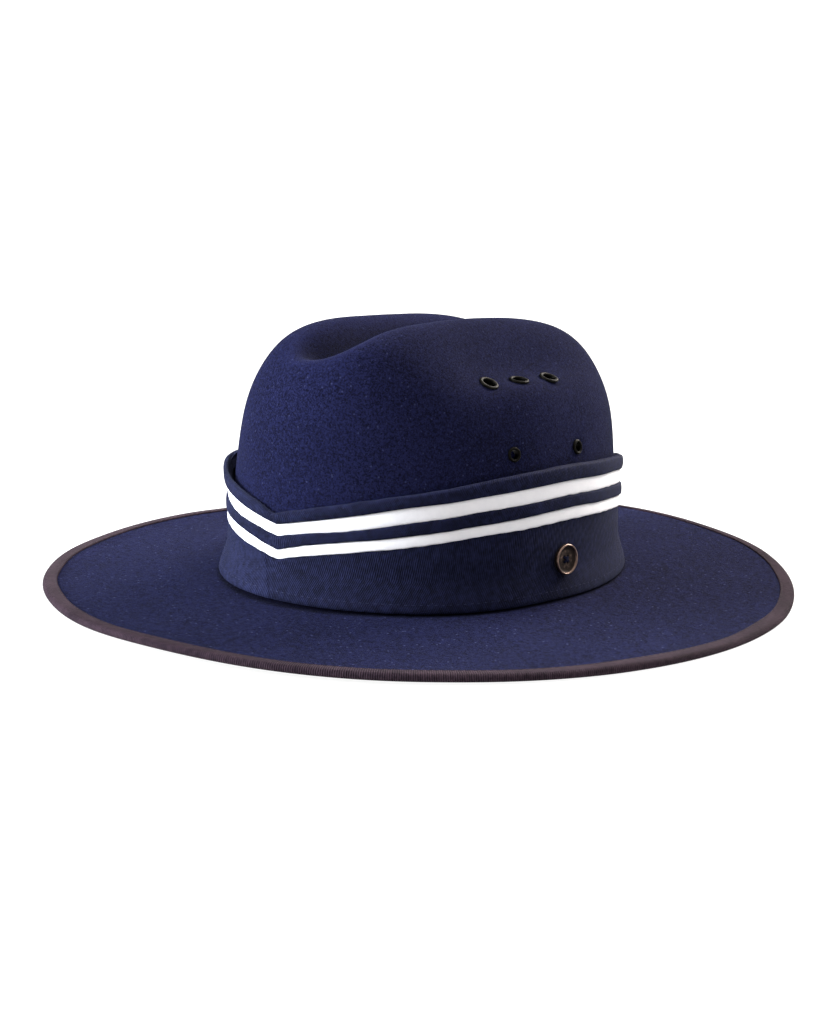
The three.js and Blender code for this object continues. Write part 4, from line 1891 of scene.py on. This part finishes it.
    def pale_tape(self, name: str, low_key: str, high_key: str, seed: int) -> Mesh:
        """One pale tape between two of the band's edges.

        Args:
            name: The mesh's name.
            low_key: Name of its lower edge.
            high_key: Name of its upper edge.
            seed: Picks the unevenness of its edges.

        Returns:
            The tape.
        """
        turn = self.turn
        low = self.edge(low_key, turn) + self.half_slit + ring_wobble(turn, 0.10, seed, (10, 90))
        high = self.edge(high_key, turn) - self.half_slit + ring_wobble(turn, 0.10, seed + 1, (10, 90))
        outline = []
        for share, thick in mirrored(self.tape_profile):
            z = low + (high - low) * share
            raised = self.tape * thick - self.groove(self.tape_groove) * (thick > 0.5)
            outline.append((turn, z, self.face(turn, z) + self.lay + raised))
        return self.ring(name, outline)

    def middle_fold(self) -> Mesh:
        """Navy fold between the two tapes.

        Returns:
            The fold.
        """
        lift = self.point_lift()
        low_wobble = ring_wobble(self.turn, 0.08, 51, (8, 60))
        high_wobble = ring_wobble(self.turn, 0.08, 52, (8, 60))
        outline = []
        for share, thick in mirrored(self.fold_profile):
            turn = self.slanted(self.fold_slant, share)
            low = self.edge("lower_to", turn) + self.half_slit + low_wobble
            high = self.edge("upper_from", turn) - self.half_slit + high_wobble
            z = low + (high - low) * share
            raised = self.fold * thick + lift * (thick > 0.4)
            outline.append((turn, z, self.face(turn, z) + self.lay + raised))
        return self.ring("band_middle_pleat", outline)

    def top_hem(self) -> Mesh:
        """Navy hem, folded flat over the top of the band.

        Returns:
            The hem.
        """
        turn = self.turn
        lift = self.point_lift() * 0.8 + ring_wobble(turn, 0.10, 62, (5, 24))
        top = self.edge("top", turn) + ring_wobble(turn, 0.09, 61, (9, 70)) - self.hem_sag.at(turn)
        lean, open_by = self.stand(turn), self.hem_open.at(turn)
        seat = self.edge("upper_to", turn) + self.half_slit
        inner, outer = self.hem_inner + open_by + lean, self.hem_out + self.hem + lean + lift
        outline = []
        for rise, out in self.hem_profile:
            z = seat + rise
            outline.append((turn, z, out + self.face(turn, z) + lift))
        for share in (0.4, 0.75):
            z = seat + (top - seat) * share
            outline.append((self.slanted(self.hem_slant, share), z, outer + 0.1 - lean * 0.6 * (1 - share)))
        ridge = self.slanted(self.hem_slant, 1.0)
        for across, rise in arc((0.5, -self.hem_round), (0.5, self.hem_round), (8, 172), 12):
            outline.append((ridge, top + rise, inner + (outer - inner) * across))
        leaf, low = inner + self.hem_leaf, self.hem_inner + 0.3 * (open_by + lean)
        for drop, out in (
            (self.hem_drop, low),
            (self.hem_drop, low + self.hem_leaf),
            (0.8, leaf),
            (0.8, np.maximum(2.65 + lean, leaf + 0.05)),
        ):
            outline.append((ridge, top - drop, out))
        return self.ring("band_top_hem", outline)

    def foot_stitches(self) -> None:
        """Row of stitches near the cloth's lower edge."""
        thread = SewingThread("navy_thread", (0.008, 0.010, 0.030), (0.034, 0.038, 0.085)).make()
        out = self.foot_out(self.stitch_rise) + 0.05 + self.lap(self.turn)
        line = self.form.sway(self.form.wall(self.turn, self.foot(self.turn) + self.stitch_rise, out))
        mesh = self.stitch_row.sewn(self.stitches, "band_foot_stitches", [line], thread)
        self.bench.piece(mesh, thread, Slot.TWILL)

    def build(self) -> None:
        """Makes the band's pieces."""
        twill, tape = TwillCloth().make(), PaleTape().make()
        cloth = self.bench.piece(self.wide_cloth(), twill, Slot.TWILL, ("band_cloth",))
        lower = self.pale_tape("band_lower_tape", "lower_from", "lower_to", 41)
        self.bench.piece(lower, tape, Slot.TAPE, ("band_lower_stripe",))
        self.bench.piece(self.middle_fold(), twill, Slot.TWILL, ("band_middle_fold",))
        upper = self.pale_tape("band_upper_tape", "upper_from", "upper_to", 45)
        self.bench.piece(upper, tape, Slot.TAPE, ("band_upper_stripe",))
        self.bench.piece(self.top_hem(), twill, Slot.TWILL, ("band_top_fold",))
        self.foot_stitches()


# Button


@dataclass
class SewnButton:
    """Four-hole metal button, sewn on with a cross of thread."""

    form: HatForm
    bench: Workbench
    turn_deg: float = 86.5
    height: float = 26.6
    outward: float = 2.6
    radius: float = 7.1
    back_radius: float = 6.4
    thickness: float = 2.6
    rim: float = 1.7
    bead: float = 1.15
    dish: float = 1.1
    hole: float = 0.75
    hole_out: float = 1.65
    thread: float = 0.36
    strand_out: float = 0.27
    strand_layer: float = 0.25
    strand_lift: float = 0.32
    strand_dip: float = 1.4
    strand_bend: float = 0.16
    sides: int = 96
    cutter_reach: float = 4.0
    cutter_sides: int = 20

    def wall(self, turn: float, z: float) -> Array:
        """Point of the band behind the button."""
        return self.form.wall(np.array(turn), np.array(z), np.array(self.outward))

    def placed(self, points: Array) -> Array:
        """Moves points from the button's own axis to its place on the band.

        Args:
            points: Points round the axis, with +Z outward.

        Returns:
            The moved points.
        """
        turn, step = math.radians(self.turn_deg), 0.02
        around = self.wall(turn + step, self.height) - self.wall(turn - step, self.height)
        upward = self.wall(turn, self.height + self.radius) - self.wall(turn, self.height - self.radius)
        normal = np.cross(around, upward)
        normal /= np.linalg.norm(normal)
        return self.form.sway(points @ turn_to(normal).T + self.wall(turn, self.height))

    def outline(self) -> list[tuple[float, float, float]]:
        """Section of the button: radius, height and wear.

        Returns:
            The section, from the back to the face.
        """
        floor = self.thickness - self.dish
        bead = self.bead / 2
        rim = arc((self.radius - bead, self.thickness - 0.7), (bead, 0.7), (-10, 170), 14)
        inner = self.radius - self.rim
        return [
            (0.0, 0.0, 0.0),
            (self.back_radius - 0.3, 0.0, 0.0),
            (self.back_radius, 0.12, 0.1),
            (self.radius - 0.1, 0.9, 0.25),
            *[(r, z, 0.2 + 0.8 * smooth(np.array((z - floor) / 1.0)).item()) for r, z in rim],
            (inner + 0.2, floor + 0.35, 0.1),
            (inner - 0.25, floor + 0.1, 0.05),
            (inner - 0.9, floor - 0.08, 0.2),
            (4.0, floor - 0.05, 0.3),
            (3.1, floor + 0.03, 0.35),
            (2.7, floor - 0.03, 0.3),
            (1.2, floor - 0.06, 0.3),
            (0.0, floor - 0.06, 0.3),
        ]

    def holes(self) -> list[Array]:
        """Middles of the four holes."""
        angles = np.radians([45, 135, 225, 315])
        return [self.hole_out * np.array([math.cos(a), math.sin(a), 0.0]) for a in angles]

    def hole_placing(self, middle: Array) -> Placing:
        """What moves points from a hole's own axis to the hole."""
        return lambda points: self.placed(points + middle)

    def hole_cutter(self) -> Mesh:
        """Rods that cut the four holes."""
        place = [self.hole_placing(middle) for middle in self.holes()]
        return rods("button_holes", [self.hole] * len(place), self.cutter_reach, self.cutter_sides, place)

    def sew(self) -> None:
        """Makes the cross of thread that holds the button."""
        thread = SewingThread("button_thread", (0.002, 0.0024, 0.010), (0.008, 0.010, 0.034)).make()
        holes = self.holes()
        floor = self.thickness - self.dish
        lines = []
        for layer, (first, second) in enumerate(((0, 2), (1, 3))):
            side = np.cross(holes[second] - holes[first], [0, 0, 1.0])
            side /= np.linalg.norm(side)
            for strand in (-self.strand_out, self.strand_out):
                share = np.linspace(0, 1, 25)[:, None]
                line = holes[first] + (holes[second] - holes[first]) * share + side * strand
                dip = 1 - np.clip(np.minimum(share, 1 - share) / self.strand_bend, 0, 1)
                height = floor + self.strand_lift + self.strand_layer * layer
                line[:, 2] = (height - self.strand_dip * dip**2)[:, 0]
                lines.append(self.placed(line))
        paths = paths_mesh("button_cross", lines, closed=False)
        mesh = thread_tree().grow("button_thread", paths, {"Radius": self.thread * MM, "Material": thread})
        self.bench.piece(mesh, thread, Slot.TWILL)

    def build(self) -> None:
        """Makes the button and its thread."""
        points, faces, worn = lathe(self.outline(), self.sides)
        mesh = solid_mesh("band_button_disc", self.placed(points), faces)
        paint(mesh, "worn", worn)
        mesh = cut_out(tidy_mesh(mesh), self.hole_cutter())
        bronze = AgedMetal("rubbed_bronze", (0.014, 0.008, 0.006), (0.17, 0.115, 0.095), 0.30).make()
        self.bench.piece(mesh, bronze, Slot.BRONZE, ("band_button",))
        self.sew()


# Studio


@dataclass
class Lamp:
    """A soft square lamp, placed from the middle of the hat."""

    name: str
    azimuth: float
    elevation: float
    distance: float
    size: float
    power: float
    colour: Colour = (1.0, 1.0, 1.0)


@dataclass
class Studio:
    """Camera, lamps and floor."""

    azimuth: float = 38.27
    elevation: float = 13.443
    roll: float = -2.248
    distance: float = 1.2
    pivot_height: float = 0.0053
    aim_right: float = -0.00684
    aim_up: float = 0.02732
    focal_px: float = 2580.0
    image_px: float = 1024.0
    sensor_mm: float = 36.0
    zenith: float = 1.78
    horizon: float = 0.2
    sky: Colour = (1.0, 0.975, 0.93)
    floor_half: float = 60.0
    floor_drop: float = 0.0001
    lamps_aim: float = 0.05
    lamps: tuple[Lamp, ...] = (
        Lamp("left_lamp", -78.0, 18.0, 2.4, 1.5, 248.0, (0.90, 0.96, 1.0)),
        Lamp("right_lamp", 137.0, 35.0, 1.6, 0.9, 68.0, (1.0, 0.94, 0.87)),
    )

    def back(self, azimuth: float, elevation: float) -> Vector:
        """Direction from the hat towards a place round it."""
        a, e = math.radians(azimuth), math.radians(elevation)
        return Vector((math.sin(a) * math.cos(e), -math.cos(a) * math.cos(e), math.sin(e)))

    def camera(self) -> None:
        """Sets the camera at the photograph's place, aimed at the middle of its frame."""
        back = self.back(self.azimuth, self.elevation)
        turn, tip = math.radians(self.azimuth), math.radians(self.roll)
        level = Vector((math.cos(turn), math.sin(turn), 0))
        upright = back.cross(level)
        right = level * math.cos(tip) - upright * math.sin(tip)
        up = level * math.sin(tip) + upright * math.cos(tip)
        pivot = Vector((0, 0, self.pivot_height))
        place = pivot + back * self.distance
        toward = (pivot + right * self.aim_right + up * self.aim_up - place).normalized()
        right = (right - toward * right.dot(toward)).normalized()
        up = right.cross(toward)
        data = bpy.data.cameras.new("photo_camera")
        data.lens = self.focal_px / self.image_px * self.sensor_mm
        data.sensor_width = self.sensor_mm
        camera = bpy.data.objects.new("photo_camera", data)
        axes = Matrix((right, up, -toward)).transposed()
        camera.matrix_world = Matrix.Translation(place) @ axes.to_4x4()
        bpy.context.scene.collection.objects.link(camera)
        bpy.context.scene.camera = camera

    def light(self) -> None:
        """Sets the lamps and the pale sky."""
        middle = Vector((0, 0, self.lamps_aim))
        for lamp in self.lamps:
            data = bpy.data.lights.new(lamp.name, "AREA")
            data.energy, data.size, data.color = lamp.power, lamp.size, lamp.colour
            item = bpy.data.objects.new(lamp.name, data)
            away = self.back(self.azimuth + lamp.azimuth, lamp.elevation)
            item.location = middle + away * lamp.distance
            item.rotation_euler = away.to_track_quat("Z", "Y").to_euler()
            bpy.context.scene.collection.objects.link(item)
        world = bpy.data.worlds.new("pale_sky")
        world.use_nodes = True
        nodes, links = world.node_tree.nodes, world.node_tree.links
        direction = nodes.new("ShaderNodeTexCoord").outputs["Generated"]
        split = nodes.new("ShaderNodeSeparateXYZ")
        links.new(direction, split.inputs[0])
        fade = nodes.new("ShaderNodeMapRange")
        fade.interpolation_type = "SMOOTHERSTEP"
        links.new(split.outputs[2], fade.inputs[0])
        fade.inputs[3].default_value = self.horizon
        fade.inputs[4].default_value = self.zenith
        links.new(fade.outputs[0], nodes["Background"].inputs["Strength"])
        nodes["Background"].inputs["Color"].default_value = (*self.sky, 1.0)
        bpy.context.scene.world = world

    def floor(self, height: float) -> None:
        """Lays the pale floor under the hat.

        Args:
            height: The floor's height, in metres.
        """
        half = self.floor_half
        sides = ((-half, -half), (half, -half), (half, half), (-half, half))
        mesh = bpy.data.meshes.new("pale_floor")
        mesh.from_pydata([(x, y, height) for x, y in sides], [], [(0, 1, 2, 3)])
        mesh.materials.append(StudioFloor().make())
        floor = bpy.data.objects.new("pale_floor", mesh)
        bpy.context.scene.collection.objects.link(floor)
        floor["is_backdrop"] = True

    def build(self, lowest: float) -> None:
        """Sets up the whole studio, with the floor just under the hat's lowest point.

        Args:
            lowest: Height of that point, in metres.
        """
        self.camera()
        self.light()
        self.floor(lowest - self.floor_drop)
        bpy.context.scene.view_settings.view_transform = "Standard"


def corners(box: tuple[Vector, Vector]) -> list[list[float]]:
    """A box as plain lists of numbers."""
    return [list(box[0]), list(box[1])]


def main() -> None:
    """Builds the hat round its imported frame."""
    logging.basicConfig(level=logging.INFO, format="%(message)s")
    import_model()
    solid_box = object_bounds()
    form, bench = HatForm(), Workbench()
    eyelets = VentEyelets(form, bench)
    stitches = stitch_tree()
    FeltShell(form, bench, eyelets).build()
    BrimBinding(form, bench, stitches).build()
    PleatedBand(form, bench, stitches).build()
    SewnButton(form, bench).build()
    eyelets.build()
    Studio().build(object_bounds()[0].z)
    {"solids": corners(solid_box), "visual": corners(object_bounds())}


if __name__ == "__main__":
    main()
